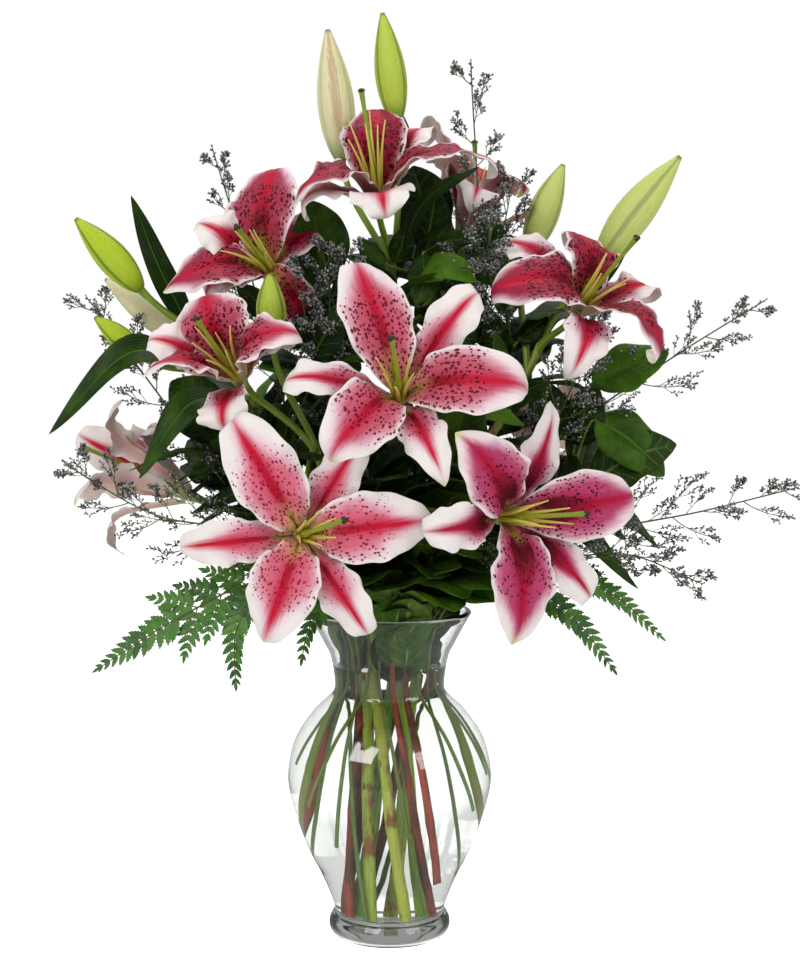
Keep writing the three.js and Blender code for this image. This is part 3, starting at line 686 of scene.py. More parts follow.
@dataclass(frozen=True)
class StemSkin:
    """The skin of a lily stem. It reads tint as how brown and how yellow the stem is."""

    green: Colour = shade(84, 124, 24)
    bright: Colour = shade(140, 174, 46)
    yellow: Colour = shade(190, 184, 74)
    brown: Colour = shade(112, 40, 16)
    scar: Colour = shade(84, 50, 20)

    def dress(self) -> Material:
        """Returns the material."""
        graph = Graph("lily_stem_skin")
        _, (brown, yellow, seed), (x, y, length) = graph.marks()
        fibre = graph.noise((x * 0.8, y * 0.8, length * 0.05 + seed * 11))
        blotch = graph.noise((x * 0.14, y * 0.14, length * 0.07 + seed * 5))
        colour = graph.blend(fibre.ramp(0.3, 0.75), self.green, self.bright)
        colour = graph.blend(yellow, colour, self.yellow)
        colour = graph.blend((blotch + brown * 0.35).ramp(0.62, 0.8) * 0.85, colour, self.brown)
        scar = graph.cells((x * 0.14, y * 0.14, length * 0.055 + seed * 3)).ramp(0.16, 0.08)
        colour = graph.blend(scar * 0.8, colour, self.scar)
        return graph.surface(colour, 0.42 + blotch * 0.12, fibre * 0.6 + scar, 0.5)


@dataclass(frozen=True)
class BarkSkin:
    """The red-brown skin of a woody twig that greens towards its leaves."""

    red: Colour = shade(150, 56, 26)
    brown: Colour = shade(84, 44, 24)
    green: Colour = shade(112, 134, 42)

    def dress(self) -> Material:
        """Returns the material."""
        graph = Graph("woody_bark")
        (_, along, _), (green, _, seed), (x, y, length) = graph.marks()
        grain = graph.noise((x * 1.1, y * 1.1, length * 0.09 + seed * 13), 4.0)
        patch = graph.noise((x * 0.2, y * 0.2, length * 0.05 + seed * 7))
        colour = graph.blend(patch.ramp(0.38, 0.62), self.red, self.brown)
        colour = graph.blend((along + green + (patch - 0.5) * 0.6).ramp(0.55, 0.95), colour, self.green)
        colour = graph.blend(grain.ramp(0.5, 0.9) * 0.5, colour, self.brown)
        return graph.surface(colour, 0.5 + grain * 0.2, grain + patch, 0.5)


@dataclass(frozen=True)
class BudSkin:
    """The skin of a bud: pale ridges, darker seams and streaks along it.

    It reads tint as how creamy and how rosy the bud is.
    """

    green: Colour = shade(176, 200, 34)
    seam: Colour = shade(104, 136, 14)
    cream: Colour = shade(236, 228, 182)
    rosy: Colour = shade(168, 96, 78)
    tip: Colour = shade(104, 84, 30)

    def dress(self) -> Material:
        """Returns the material."""
        graph = Graph("bud_skin")
        (ridge, along, _), (creamy, rosy, seed), (x, y, length) = graph.marks()
        streak = graph.noise((x * 0.8, y * 0.8, length * 0.03 + seed * 9))
        ground = graph.blend(creamy, self.green, self.cream)
        edge = graph.blend(creamy * 0.8, self.seam, self.cream)
        colour = graph.blend((ridge + (streak - 0.5) * 0.3).ramp(-0.78, -0.98) * 0.9, ground, edge)
        colour = graph.blend(streak.ramp(0.5, 0.9) * 0.3 * (1 - creamy * 0.6), colour, self.seam)
        colour = graph.blend(along.ramp(0.2, 0.0) * 0.7, colour, self.seam)
        blush = (ridge + (streak - 0.5) * 1.2).ramp(0.45, 1.0) * along.ramp(0.05, 0.3) * rosy
        colour = graph.blend(blush * 0.85, colour, self.rosy)
        colour = graph.blend(along.ramp(0.955, 1.0) * 0.8, colour, self.tip)
        height = streak + ridge.ramp(-0.8, -1.0) * -0.6
        return graph.surface(colour, 0.42 + streak * 0.14, height, 0.6, 0.4)


@dataclass(frozen=True)
class LeafSkin:
    """One face of a leaf, with veins that run along it or branch from its midrib.

    It reads tint's first part as how light the leaf is.
    """

    name: str
    dark: Colour
    light: Colour
    rib: Colour
    netted: bool = False
    roughness: float = 0.38
    relief: float = 0.5

    def dress(self) -> Material:
        """Returns the material."""
        graph = Graph(self.name)
        (across, along, _), (lightness, _, _), (width, length, offset) = graph.marks()
        side = abs(across)
        cloud = graph.noise((width * 0.07, length * 0.05, offset))
        if self.netted:
            lines = ((length - abs(width) * 0.75 + (cloud - 0.5) * 4) * 0.75).sine().ramp(0.86, 1.0)
            net = graph.cells((width * 0.4, length * 0.4, offset), "DISTANCE_TO_EDGE")
            veins = (lines * side.ramp(1.0, 0.75)).peak(net.ramp(0.1, 0.0) * 0.35)
        else:
            veins = (width * 3.1).sine().ramp(0.2, 1.0) * 0.45
        fine = graph.noise((width * 0.9, length * 0.12, offset))
        light = (lightness + (cloud - 0.5) * 0.9 + (fine - 0.5) * 0.3).ramp(0.0, 1.1)
        colour = graph.blend(veins * 0.4, graph.blend(light, self.dark, self.light), self.rib)
        midrib = side.ramp(0.1, 0.02) * along.ramp(1.05, 0.5)
        colour = graph.blend(midrib * 0.8, colour, self.rib)
        height = fine * 0.4 + cloud * 0.8 - veins * 0.5 - midrib
        return graph.surface(colour, self.roughness + fine * 0.16, height, self.relief, 0.16)


@dataclass(frozen=True)
class TinyBits:
    """Fern leaflets or tiny dry flowers, a little different from one to the next."""

    name: str
    dark: Colour
    light: Colour
    edge: Colour
    grain: float
    roughness: float = 0.6

    def dress(self) -> Material:
        """Returns the material."""
        graph = Graph(self.name)
        (_, along, _), (tone, _, _), place = graph.marks()
        speckle = graph.noise(tuple(place), 2.0, self.grain)
        colour = graph.blend((tone + (speckle - 0.5) * 0.8).ramp(0.0, 1.0), self.dark, self.light)
        colour = graph.blend(along.ramp(0.35, 1.0) * (tone * 0.7 + 0.1), colour, self.edge)
        return graph.surface(colour, self.roughness + speckle * 0.15, speckle, 0.25)


@dataclass(frozen=True)
class Clear:
    """Glass or water. Lamps shine through it, so that what it holds is lit."""

    name: str
    colour: Colour
    index: float
    waviness: float
    lamp_tint: Colour

    def dress(self) -> Material:
        """Returns the material."""
        graph = Graph(self.name)
        waves = graph.noise(graph.node("TexCoord", output="Object"), 1.0, 26.0)
        clear = {"Roughness": 0.0, "IOR": self.index, "Transmission Weight": 1.0}
        skin = {"Base Color": self.colour, "Normal": graph.bump(waves, self.waviness)}
        body = graph.node("BsdfPrincipled", None, {**clear, **skin})
        through_it = graph.node("BsdfTransparent", None, {"Color": self.lamp_tint})
        return graph.finish(graph.either(graph.ray("Is Shadow Ray"), body, through_it))


@dataclass(frozen=True)
class FloorPaper:
    """Plain pale paper, duller where the glass mirrors it."""

    colour: Colour = shade(250, 250, 250)
    fibre: Colour = shade(235, 235, 235)
    mirrored: Colour = shade(184, 186, 184)
    glow: float = 0.74

    def dress(self) -> Material:
        """Returns the material."""
        graph = Graph("floor_paper")
        grain = graph.noise(graph.node("TexCoord", output="Object"), 2.0, 40.0)
        colour = graph.blend(grain * 0.04, self.colour, self.fibre)
        sockets = {"Base Color": colour, "Roughness": 0.9 + grain * 0.05, "Specular IOR Level": 0.1}
        glowing = {**sockets, "Emission Color": colour, "Emission Strength": self.glow}
        lit, plain = (graph.node("BsdfPrincipled", None, values) for values in (glowing, sockets))
        dim = graph.node("BsdfDiffuse", None, {"Color": self.mirrored})
        return graph.finish(graph.by_ray(lit, plain, dim))


def dressed(finish: type, name: str, first: Row, second: Row, third: Row, *rest: float) -> Material:
    """Returns the material of a finish with three colours, given as they look on a screen."""
    return finish(name, shade(*first), shade(*second), shade(*third), *rest).dress()


class Palette:
    """Every finish, dressed once and shared by the pieces."""

    def __init__(self) -> None:
        """Dresses the finishes."""
        crimson = PetalFace("petal_face", shade(216, 106, 128), shade(144, 12, 50))
        magenta = PetalFace("petal_face_magenta", shade(214, 98, 144), shade(150, 8, 66), shade(172, 2, 52),
                            shade(42, 0, 8), 0.56)
        base = dressed(SoftSkin, "flower_base", (150, 168, 72), (206, 208, 150), (190, 150, 130))
        style = dressed(SoftSkin, "style_skin", (170, 176, 36), (112, 146, 34), (140, 160, 40), 0.3)
        filament = dressed(SoftSkin, "filament_skin", (196, 196, 56), (232, 216, 118), (214, 180, 70), 0.3)
        stigma = dressed(SoftSkin, "stigma_skin", (46, 28, 12), (56, 34, 16), (26, 15, 8), 0.8, 0.5)
        lily_face = dressed(LeafSkin, "lily_leaf_face", (10, 32, 3), (84, 128, 14), (74, 112, 22))
        lily_back = dressed(LeafSkin, "lily_leaf_back", (28, 56, 14), (96, 138, 40), (110, 146, 62))
        lemon_face = dressed(LeafSkin, "lemon_leaf_face", (9, 29, 3), (84, 130, 16), (74, 112, 26), True,
                             0.36)
        lemon_back = dressed(LeafSkin, "lemon_leaf_back", (36, 62, 16), (116, 148, 52), (126, 156, 70),
                             True, 0.5)
        cut_end = dressed(SoftSkin, "cut_end", (198, 196, 130), (186, 186, 110), (140, 120, 70))
        stalk = dressed(SoftSkin, "fern_stalk", (90, 120, 36), (92, 84, 48), (96, 76, 34))
        leaflet = dressed(TinyBits, "fern_leaflet", (24, 72, 10), (80, 140, 28), (72, 124, 30), 0.35, 0.45)
        twig = dressed(SoftSkin, "lavender_twig", (88, 116, 44), (66, 72, 52), (84, 76, 44))
        floret = dressed(TinyBits, "lavender_flower", (30, 32, 27), (82, 84, 78), (190, 190, 188), 0.8)
        back = PetalBack().dress()
        self.petals = [crimson.dress(), back, base]
        self.magenta_petals = [magenta.dress(), back, base]
        self.pistil = [style, filament, stigma]
        self.bud = [BudSkin().dress()]
        self.leaf = [lily_face, lily_back]
        self.stem = [StemSkin().dress(), cut_end, *self.leaf]
        self.lemon = [BarkSkin().dress(), lemon_face, lemon_back]
        self.fern = [stalk, leaflet]
        self.lavender = [twig, floret]


# ---- vase
def lathe(profile: Array, angles: Array) -> Array:
    """Returns the rings that a profile of radius and height makes about the vertical axis."""
    flat = profile[:, None, :1] * np.stack([np.cos(angles), np.sin(angles)], axis=1)
    return np.concatenate([flat, np.broadcast_to(profile[:, None, 1:], (*flat.shape[:2], 1))], axis=2)


@dataclass
class Vase:
    """The clear glass urn and the water in it."""

    outline: Rows = (
        (39.5, 0), (42.3, 4), (42.6, 9), (40.6, 13.5), (38.6, 17), (42.6, 29.5), (49.3, 45),
        (57.4, 61), (66, 85), (71.6, 110.5), (67.1, 137), (54.5, 157), (44.5, 167), (39.2, 173),
        (38.5, 181), (41.3, 197.7), (46.2, 208), (57.2, 228.6),
    )
    under: Rows = ((0.0, 2.6), (30.0, 2.6), (36.0, 1.2), (37.5, 0.0), (39.0, 0.0))
    hollow: Rows = ((0.0, 0.0), (14.0, 0.0), (25.0, 0.3), (31.0, 2.2), (34.6, 6.4))
    meniscus: Rows = ((1.0, 0.0), (0.6, 0.42), (2.4, 0.9), (6.0, 1.2))
    wall: float = 3.0
    floor: float = 12.0
    inside_from: float = 27.0
    water_level: float = 192.0
    dip: float = 2.0
    bite: float = 0.12
    axis_gap: float = 0.05

    def profile(self, inset: float) -> Array:
        """Returns the outside of the glass, moved inwards by an inset, as radius and height."""
        knots = np.array(self.outline, float)
        line = through(np.vstack([knots[0], knots, knots[-1]]), 150, 0.0)
        slope = unit(np.gradient(line, axis=0))
        return line + np.stack([-slope[:, 1], slope[:, 0]], axis=1) * inset

    def glass_radius(self, height: float) -> float:
        """Returns the outside radius at a height."""
        line = self.profile(0.0)
        return float(line[np.argmax(line[:, 1] > height), 0])

    def inner(self, inset: float, top: float) -> Array:
        """Returns the inside of the glass from the middle of the floor up to a height."""
        corner = np.array(self.hollow) + (-inset, self.floor + inset)
        corner[0, 0] = 0.0
        side = self.profile(self.wall + inset)
        return np.vstack([corner, side[(side[:, 1] > self.inside_from) & (side[:, 1] < top)]])

    def spin(self, profile: Array, node: str, part: str, slot: str, material: Material) -> None:
        """Makes a piece of a profile that leads from the axis round and back to it."""
        draft = Draft()
        draft.loft(lathe(np.maximum(profile, (self.axis_gap, 0.0)), angles_round(120)), 0)
        draft.piece(node, part, slot, [material])

    def build(self) -> None:
        """Makes the glass and the water."""
        outside = self.profile(0.0)
        rim = outside[-1]
        inside = self.inner(0.0, rim[1] - self.wall * 0.3)[::-1]
        turn = np.linspace(0.2, math.pi - 0.35, 7)[:, None]
        half = np.linalg.norm(rim - inside[0]) / 2
        lip = (rim + inside[0]) / 2 + (0.0, 0.2) + np.hstack([np.cos(turn), np.sin(turn)]) * half
        glass = Clear("clear_glass", shade(246, 247, 246), 1.5, 0.02, shade(252, 254, 253)).dress()
        self.spin(np.vstack([self.under, outside[1:], lip, inside]), "vase", "glass", "glass", glass)
        body = self.inner(-self.bite, self.water_level)
        surface = (body[-1, 0], self.water_level + 0.6) - np.array(self.meniscus)
        still = Clear("still_water", shade(248, 249, 247), 1.333, 0.01, shade(250, 252, 250)).dress()
        profile = np.vstack([body, surface, (0.0, self.water_level - self.dip)])
        self.spin(profile, "water", "body", "water", still)

    def plant(self, thicket: Thicket) -> None:
        """Plants both faces of the glass, for the leaves to keep clear of."""
        for inset in (0.0, self.wall):
            thicket.plant(lathe(self.profile(inset)[::4], np.linspace(0.0, CIRCLE, 37)))


# ---- what grows
@dataclass
class Bouquet:
    """What the stems, flowers and leaves share: the vase, the finishes and what already stands."""

    vase: Vase
    palette: Palette
    thicket: Thicket = field(default_factory=Thicket)


@dataclass
class Growth:
    """One node of the bouquet and what it holds while it is made.

    Attributes:
        name: The node that it stands for.
    """

    name: str
    bouquet: Bouquet = field(init=False)
    draft: Draft = field(init=False)
    random: np.random.Generator = field(init=False)

    def begin(self, bouquet: Bouquet) -> None:
        """Starts its draft and its own random numbers."""
        self.bouquet, self.draft = bouquet, Draft()
        self.random = np.random.default_rng(zlib.crc32(self.name.encode()))

    def finish(self, part: str, slot: str, materials: Sequence[Material]) -> None:
        """Makes a piece of the draft and starts the next draft."""
        self.draft.piece(self.name, part, slot, materials)
        self.draft = Draft()

    def pattern(self) -> tuple[float, float, float]:
        """Returns a tint whose last part sets a rod's pattern apart."""
        return 0.0, 0.0, self.random.uniform()


@dataclass
class Stem(Growth):
    """What every stem in the bouquet has: where it stands and the way it goes.

    Attributes:
        azimuth: Its place in the neck, in degrees about the vase's axis.
        path: The points above the mouth that it passes.
        lean: Azimuth and height of its foot, where it leans on the glass.
        ring: How far from the vase's axis it passes the floor, the neck and the mouth.
        radius: Its radius at its foot.
        spine: Its middle line.
        mouth: The share of its length at which it passes the mouth.
    """

    azimuth: float
    path: Rows
    lean: Row | None = None
    ring: Row = (24.0, 28.0, 40.0)
    radius: float = 2.8
    spine: Spine = field(init=False)
    mouth: float = field(init=False)
    spiral: float = 80.0
    neck_height: float = 181.0
    mouth_height: float = 232.0
    lift: float = 0.9
    lean_gap: float = 0.4

    def begin(self, bouquet: Bouquet) -> None:
        """Works out its way from the floor or the glass through the neck to its end."""
        super().begin(bouquet)
        vase = bouquet.vase
        azimuth, reach, height = self.azimuth + self.spiral, self.ring[0], vase.floor + self.lift
        if self.lean:
            azimuth, height = self.lean
            glass = vase.glass_radius(height - self.radius) - vase.wall
            reach = glass * math.cos(math.pi / 20) - self.radius - self.lean_gap
        foot, neck, mouth = (
            np.array([radius * math.cos(math.radians(angle)), radius * math.sin(math.radians(angle)), level])
            for angle, radius, level in (
                (azimuth, reach, height),
                (self.azimuth, self.ring[1], self.neck_height),
                (self.azimuth, self.ring[2], self.mouth_height),
            )
        )
        self.spine = Spine(threaded([foot, (foot + neck) / 2, neck, mouth, *self.path], 260))
        self.mouth = self.spine.nearest(mouth)

    def above(self, share: float) -> float:
        """Returns the share of the whole length that is a share of the length above the mouth."""
        return mix(self.mouth, 1.0, share)


@dataclass
class LeafMaker:
    """Grows leaves that keep clear of what already stands in the bouquet.

    Attributes:
        growth: What the leaves grow on.
        finishes: The materials of their two faces.
        shape: Their outline, as swelling takes it.
        thickness: Their thickness at the midrib.
        leaf_weight: How much a crossed leaf counts against something firmer.
        most_crossed: How much a leaf may cross.
        narrowest: The least half width.
    """

    growth: Growth
    finishes: tuple[int, int]
    shape: Row
    thickness: float = 0.7
    leaf_weight: float = 0.3
    most_crossed: float = 0.95
    narrowest: float = 0.15

    def grow(
        self, options: Sequence[tuple], relief: Callable[..., Array], lightness: float, must: bool = False
    ) -> bool:
        """Grows a leaf in the first of some ways that passes through nothing.

        Args:
            options: Ways to lay it: the midrib's points, the direction across, and the width.
            relief: How far a point rises, from places across and along.
            lightness: How light its green is.
            must: Whether it grows in the least crossing way when no way is clear.

        Returns:
            Whether the leaf grew.
        """
        seed, thicket, best = self.growth.random.uniform(), self.growth.bouquet.thicket, None
        for middle, sideways, width in options:
            shares = evenly(len(middle))
            half = np.maximum(swelling(width, self.shape, shares), self.narrowest)
            blade = Blade(middle, sideways, half, relief(ACROSS, shares[:, None]) * half[:, None])
            surface, _ = blade.surface()
            crossed = thicket.crossings(surface)
            if best is None or crossed < best[0]:
                best = (crossed, blade, surface)
            if not any(crossed):
                break
        (firm, leafy), blade, surface = best
        if firm + self.leaf_weight * leafy > self.most_crossed and not must:
            return False
        thickness = self.thickness * (1 - 0.7 * np.abs(ACROSS) ** 1.5) + 0 * blade.relief
        self.growth.draft.sheet(blade, thickness, self.finishes, (lightness, 0.0, 0.0), seed)
        thicket.plant(surface, leafy=True)
        return True

    def lay(
        self, points: Rows, count: int, width: float, relief: Callable[..., Array], light: float
    ) -> Array:
        """Lays a leaf along some points, facing outwards.

        Args:
            points: Points along its midrib.
            count: How many points its midrib gets.
            width: Its width, or its share of its length where it is below one.
            relief: How far a point rises, from places across and along.
            light: How light its green is.

        Returns:
            The midrib.
        """
        middle = threaded(points, count)
        chord = middle[-1] - middle[0]
        width = width if width > 1 else float(np.linalg.norm(chord)) * width
        self.grow([(middle, unit(np.cross(chord, OUTSIDE)), width)], relief, light, True)
        return middle


def lily_relief(phase: float, across: Array, along: Array) -> Array:
    """Returns how a lily leaf rises: a shallow channel with a gentle wave in its margins."""
    side = np.abs(across)
    ruffle = 0.12 * side**2 * wave(1.7 * along + phase + 0.22 * np.sign(across))
    return 0.3 * side**1.3 * (1 - 0.6 * along) + ruffle * np.sin(math.pi * along)


def lemon_relief(phase: float, fold: float, across: Array, along: Array) -> Array:
    """Returns how a lemon leaf rises: folded at the midrib, quilted and a little wavy."""
    side = np.abs(across)
    ruffle = 0.1 * side**2.5 * wave(2.3 * along + phase + 0.31 * np.sign(across))
    return fold * side - 0.22 * side**3 + ruffle * np.sin(math.pi * along) ** 0.7


@dataclass
class LilyStem(Stem):
    """A lily stem with its pedicels and the leaves that grow on it.

    Attributes:
        carries: Where each flower or bud sits, which way it points, and the path point that its
            pedicel leaves from.
        skin: How brown and how yellow its skin is.
        leaves: How many leaves it has.
        leaf_length: How long they are, from and to.
        leaf_width: How wide they are, from and to.
        pedicel: The radius of a pedicel at both ends.
    """

    carries: Sequence[tuple[Array, Array, int]] = ()
    skin: Row = (0.0, 0.0)
    leaves: int = 15
    leaf_length: Row = (62.0, 100.0)
    leaf_width: Row = (15.0, 22.0)
    pedicel: Row = (2.6, 2.2)
    ring: Row = (17.0, 14.0, 19.0)
    radius: float = 3.5
    top: float = 2.8

    def build(self, bouquet: Bouquet) -> None:
        """Makes the stem, its pedicels and its leaves."""
        self.begin(bouquet)
        spine, random, shares = self.spine, self.random, evenly(90)
        bumps = 1 + 0.05 * np.sin(shares * spine.length / 9 + random.uniform(0, 6))
        tint = (*self.skin, random.uniform())
        self.draft.rod(spine.at(shares), mix(self.radius, self.top, shares) * bumps, 14, 0, tint)
        start = spine.at(np.array([0.0, 0.0015])) - spine.along(0.0) * 0.3
        self.draft.rod(start, (self.radius * 0.96, self.radius * 0.96), 14, 1, tint)
        for order, (seat, facing, index) in enumerate(self.carries):
            self.lay_pedicel(seat, facing, spine.nearest(self.path[index]) - 0.02 * order)
        maker = LeafMaker(self, (2, 3), (0.08, 0.997, 0.85, 0.85))
        for number in range(self.leaves):
            share = mix(self.above(0.02), 0.97, (number + random.uniform(0.1, 0.7)) / self.leaves)
            self.grow_leaf(maker, share, number)
        self.finish("stalk", "lily_stem", bouquet.palette.stem)

    def lay_pedicel(self, seat: Array, facing: Array, share: float) -> None:
        """Lays the pedicel of a flower or bud from a share of the length."""
        rods = self.spine.at(evenly(9))
        knot = min(int(share * 8), 7)
        foot = mix(rods[knot], rods[knot + 1], share * 8 - knot)
        arm = 0.38 * np.linalg.norm(seat - foot)
        leaving = unit(unit(seat - foot) + UP * 0.8)
        shares = evenly(26)
        way = bezier([foot, foot + leaving * arm, seat - facing * arm, seat], 26)
        radii = mix(*self.pedicel, shares) * (1 + 0.35 * ease(0.88, 1.0, shares))
        self.draft.rod(way, radii, 10, 0, (0.0, 0.1, self.random.uniform()))

    def grow_leaf(self, maker: LeafMaker, share: float, number: int) -> None:
        """Grows one of the leaves at a share of the length."""
        random, along, foot = self.random, self.spine.along(share), self.spine.at(share)[0]
        length, width = random.uniform(*self.leaf_length), random.uniform(*self.leaf_width)
        droop, start = random.uniform(0.15, 0.5), random.uniform(0, 360)
        options = []
        for attempt in range(10):
            outwards = around(along, start + DIVERGENCE * (number + attempt))
            reach = length * (1 - 0.04 * attempt)
            rising = unit(along * 0.9 + outwards * 0.75)
            falling = unit(outwards + along * 0.3 - UP * droop)
            knee = foot + rising * reach * 0.45
            way = bezier([foot, knee, knee + falling * reach * 0.6], 16)
            options.append((way, unit(np.cross(rising, along)), width))
        lightness = random.uniform(0.0, 0.35) + 0.5 * (random.uniform() > 0.85)
        maker.grow(options, partial(lily_relief, random.uniform()), lightness)


# ---- flowers and buds
@dataclass(frozen=True)
class TepalKind:
    """How wide or narrow tepals are cut."""

    width: float
    flare: float
    forward: float
    ruffle: float
    narrow: float


class Tepal(Enum):
    """The two whorls of tepals."""

    WIDE = TepalKind(46.0, 0.35, 6.0, 2.6, 0.0)
    NARROW = TepalKind(30.0, 0.75, 0.0, 2.4, 1.0)


def hooked(middle: Array, across: Array, degrees: float) -> Array:
    """Returns a midrib whose last part curls back by an angle, and which reaches as far as before."""
    steps = np.diff(middle, axis=0)
    turn = np.radians(-degrees) * ease(0.82, 1.0, evenly(len(steps)))[:, None]
    curled = np.cumsum(steps * np.cos(turn) + np.cross(across, steps) * np.sin(turn), axis=0)
    size = np.linalg.norm(middle[-1] - middle[0]) / np.linalg.norm(curled, axis=1).max()
    return middle[0] + np.vstack([np.zeros(3), curled]) * size


@dataclass
class Bloom(Growth):
    """An open lily.

    Attributes:
        foot: Where its tepals meet.
        facing: The way it faces.
        style: Where its style ends, from the foot.
        wide: Tips of the wide tepals from the foot, how far each rolls back in degrees and, where it
            isn't the usual, its width against the usual and how far it turns about its midrib.
        narrow: The same for the narrow tepals.
        depth: How deep its pink is, from 0 to 1.
        spots: How spotted it is, from 0 to 1.
        magenta: Whether its pink is a purple one.
        fullest: How far out its tepals are widest.
        hook: How far the last part of a tepal curls back, from and to, in degrees.
    """

    foot: Row
    facing: Row
    style: Row
    wide: Rows = ()
    narrow: Rows = ()
    depth: float = 0.5
    spots: float = 0.8
    magenta: bool = False
    fullest: float = 1.18
    arm: float = 38.0
    ring: float = 4.8
    rows: int = 40
    receptacle: float = 8.0
    filaments: int = 6
    hook: Row = (30.0, 120.0)

    def __post_init__(self) -> None:
        """Turns the places and directions into vectors."""
        self.foot, self.style = np.array(self.foot, float), np.array(self.style, float)
        self.facing = unit(np.array(self.facing, float))

    def seat(self) -> tuple[Array, Array]:
        """Returns where its pedicel ends and which way it points there."""
        return self.foot - self.facing * (self.receptacle + 0.2), self.facing

    def lay_tepal(self, kind: TepalKind, tip: Row) -> None:
        """Lays one tepal.

        Args:
            kind: How it is cut.
            tip: Its tip from the foot, how far it rolls back, and perhaps its width and its turn.
        """
        random, facing = self.random, self.facing
        reach, roll = np.array(tip[:3], float), math.radians(tip[3])
        share, turn = tip[4:] or (1.0, random.uniform(-18, 18))
        outwards = unit(reach)
        square = unit(outwards - facing * np.dot(outwards, facing))
        back = unit(-facing + outwards * np.dot(facing, outwards))
        ending = outwards * math.cos(roll) + back * math.sin(roll)
        start = self.foot + square * self.ring + facing * kind.forward
        leaving = start + unit(facing + square * kind.flare) * self.arm
        end = self.foot + reach
        across = unit(np.cross(square, facing))
        middle = bezier([start, leaving, end - ending * self.arm, end], self.rows)
        middle = hooked(middle, across, random.uniform(*self.hook))
        shares = evenly(self.rows)
        half = np.maximum(swelling(kind.width * share, (0.02, 0.998, self.fullest, 0.74), shares), 0.12)
        half, along = half[:, None], shares[:, None]
        side, sign = np.abs(ACROSS), np.sign(ACROSS)
        phase, waves = random.uniform(), random.uniform(2.2, 3.2)
        ruffle = wave(waves * along + phase + 0.31 * sign)
        ruffle = ruffle + 0.45 * wave(2.3 * waves * along + 2.1 * phase - 0.2 * sign)
        notches = wave(1.6 * waves * along + 3.3 * phase + 0.27 * sign)
        envelope = np.sin(math.pi * along) ** 0.6
        relief = (0.28 * (1 - along) ** 1.5 - 0.2 * along**2) * side * half
        relief = relief + kind.ruffle * side**2.6 * ruffle * envelope
        relief = relief + 3.84 * (1 - kind.narrow * 0.5) * side * (1 - side) * envelope
        relief = relief - 1.1 * np.exp(-((side / 0.11) ** 2)) * (1 - along) ** 0.4
        half = half * (1 + (0.03 + 0.05 * kind.narrow) * side**3 * notches * envelope)
        thickness = mix(1.3, 0.35, side**1.2) * (1 - 0.35 * along)
        thickness = thickness + 0.9 * np.exp(-((side / 0.12) ** 2)) * (1 - along)
        twist = math.radians(turn) * along
        tangents = unit(np.gradient(middle, axis=0))
        sideways = across * np.cos(twist) + np.cross(tangents, across) * np.sin(twist)
        blade = Blade(middle, sideways, half, relief)
        depth = float(np.clip(self.depth + random.uniform(-0.08, 0.08), 0, 1))
        tint = (depth, self.spots * (1 - 0.2 * kind.narrow), kind.narrow)
        self.draft.sheet(blade, thickness, (0, 1), tint, random.uniform())
        self.bouquet.thicket.plant(blade.surface()[0][::2])

    def lay_pistil(self) -> None:
        """Lays the ovary and the style with its three-lobed stigma."""
        shares, end = evenly(30), self.foot + self.style
        way = bezier([self.foot, self.foot + self.facing * 40, end], 30)
        ovary = 1.2 * ease(0.42, 0.3, shares) + 0.5 * ease(0.85, 1.0, shares)
        self.draft.rod(way, 1.45 + ovary, 12, 0, self.pattern())
        knob = np.linspace(-0.5, 1.0, 10)[:, None]
        dome = np.sqrt(np.maximum(1 - ((knob - 0.25) / 0.78) ** 2, 0.03))
        lobes = (1 + 0.2 * np.cos(3 * angles_round(18))) * (2.3 * dome)
        self.draft.rod(end + unit(way[-1] - way[-2]) * (knob * 2.2 - 1.0), lobes, 18, 2, self.pattern())

    def lay_filament(self, number: int) -> None:
        """Lays one of the filaments."""
        random, facing = self.random, self.facing
        swing = unit(self.style) - facing
        outwards = around(facing, 360 / self.filaments * (number + 0.5) + random.uniform(-8, 8))
        start = self.foot + outwards * 3.2 + facing * 1.5
        length = random.uniform(48, 62)
        heading = unit(facing + outwards * random.uniform(0.06, 0.26) + swing * 0.8)
        leaving = unit(facing + outwards * 0.05 + swing * 0.3)
        path = bezier([start, start + leaving * length * 0.5, start + heading * length], 16)
        self.draft.rod(path, mix(2.2, 0.4, evenly(16) ** 0.8), 8, 1, self.pattern())

    def build(self, bouquet: Bouquet) -> None:
        """Makes the petals and the pistil."""
        self.begin(bouquet)
        steps = np.linspace(-1.0, 0.9, 9)
        base = self.foot + self.facing * (steps * self.receptacle)[:, None]
        self.draft.rod(base, mix(3.2, 5.6, ease(-1.0, 0.6, steps)), 12, 2, self.pattern())
        for kind, tips in ((Tepal.NARROW, self.narrow), (Tepal.WIDE, self.wide)):
            for tip in tips:
                self.lay_tepal(kind.value, tip)
        palette = bouquet.palette
        self.finish("petals", "petal", palette.magenta_petals if self.magenta else palette.petals)
        self.lay_pistil()
        for number in range(self.filaments):
            self.lay_filament(number)
        self.finish("pistil", "petal", palette.pistil)


class BudTone(Enum):
    """How creamy and how rosy a bud is."""

    GREEN = (0.0, 0.0)
    LIME = (0.1, 0.0)
    PALE_LIME = (0.34, 0.0)
    CREAM = (1.0, 0.15)
    ROSY_CREAM = (0.92, 0.6)

    def slot(self) -> str:
        """Returns the name of the material slot for a bud of this tone."""
        return "cream_bud" if self in (BudTone.CREAM, BudTone.ROSY_CREAM) else "green_bud"


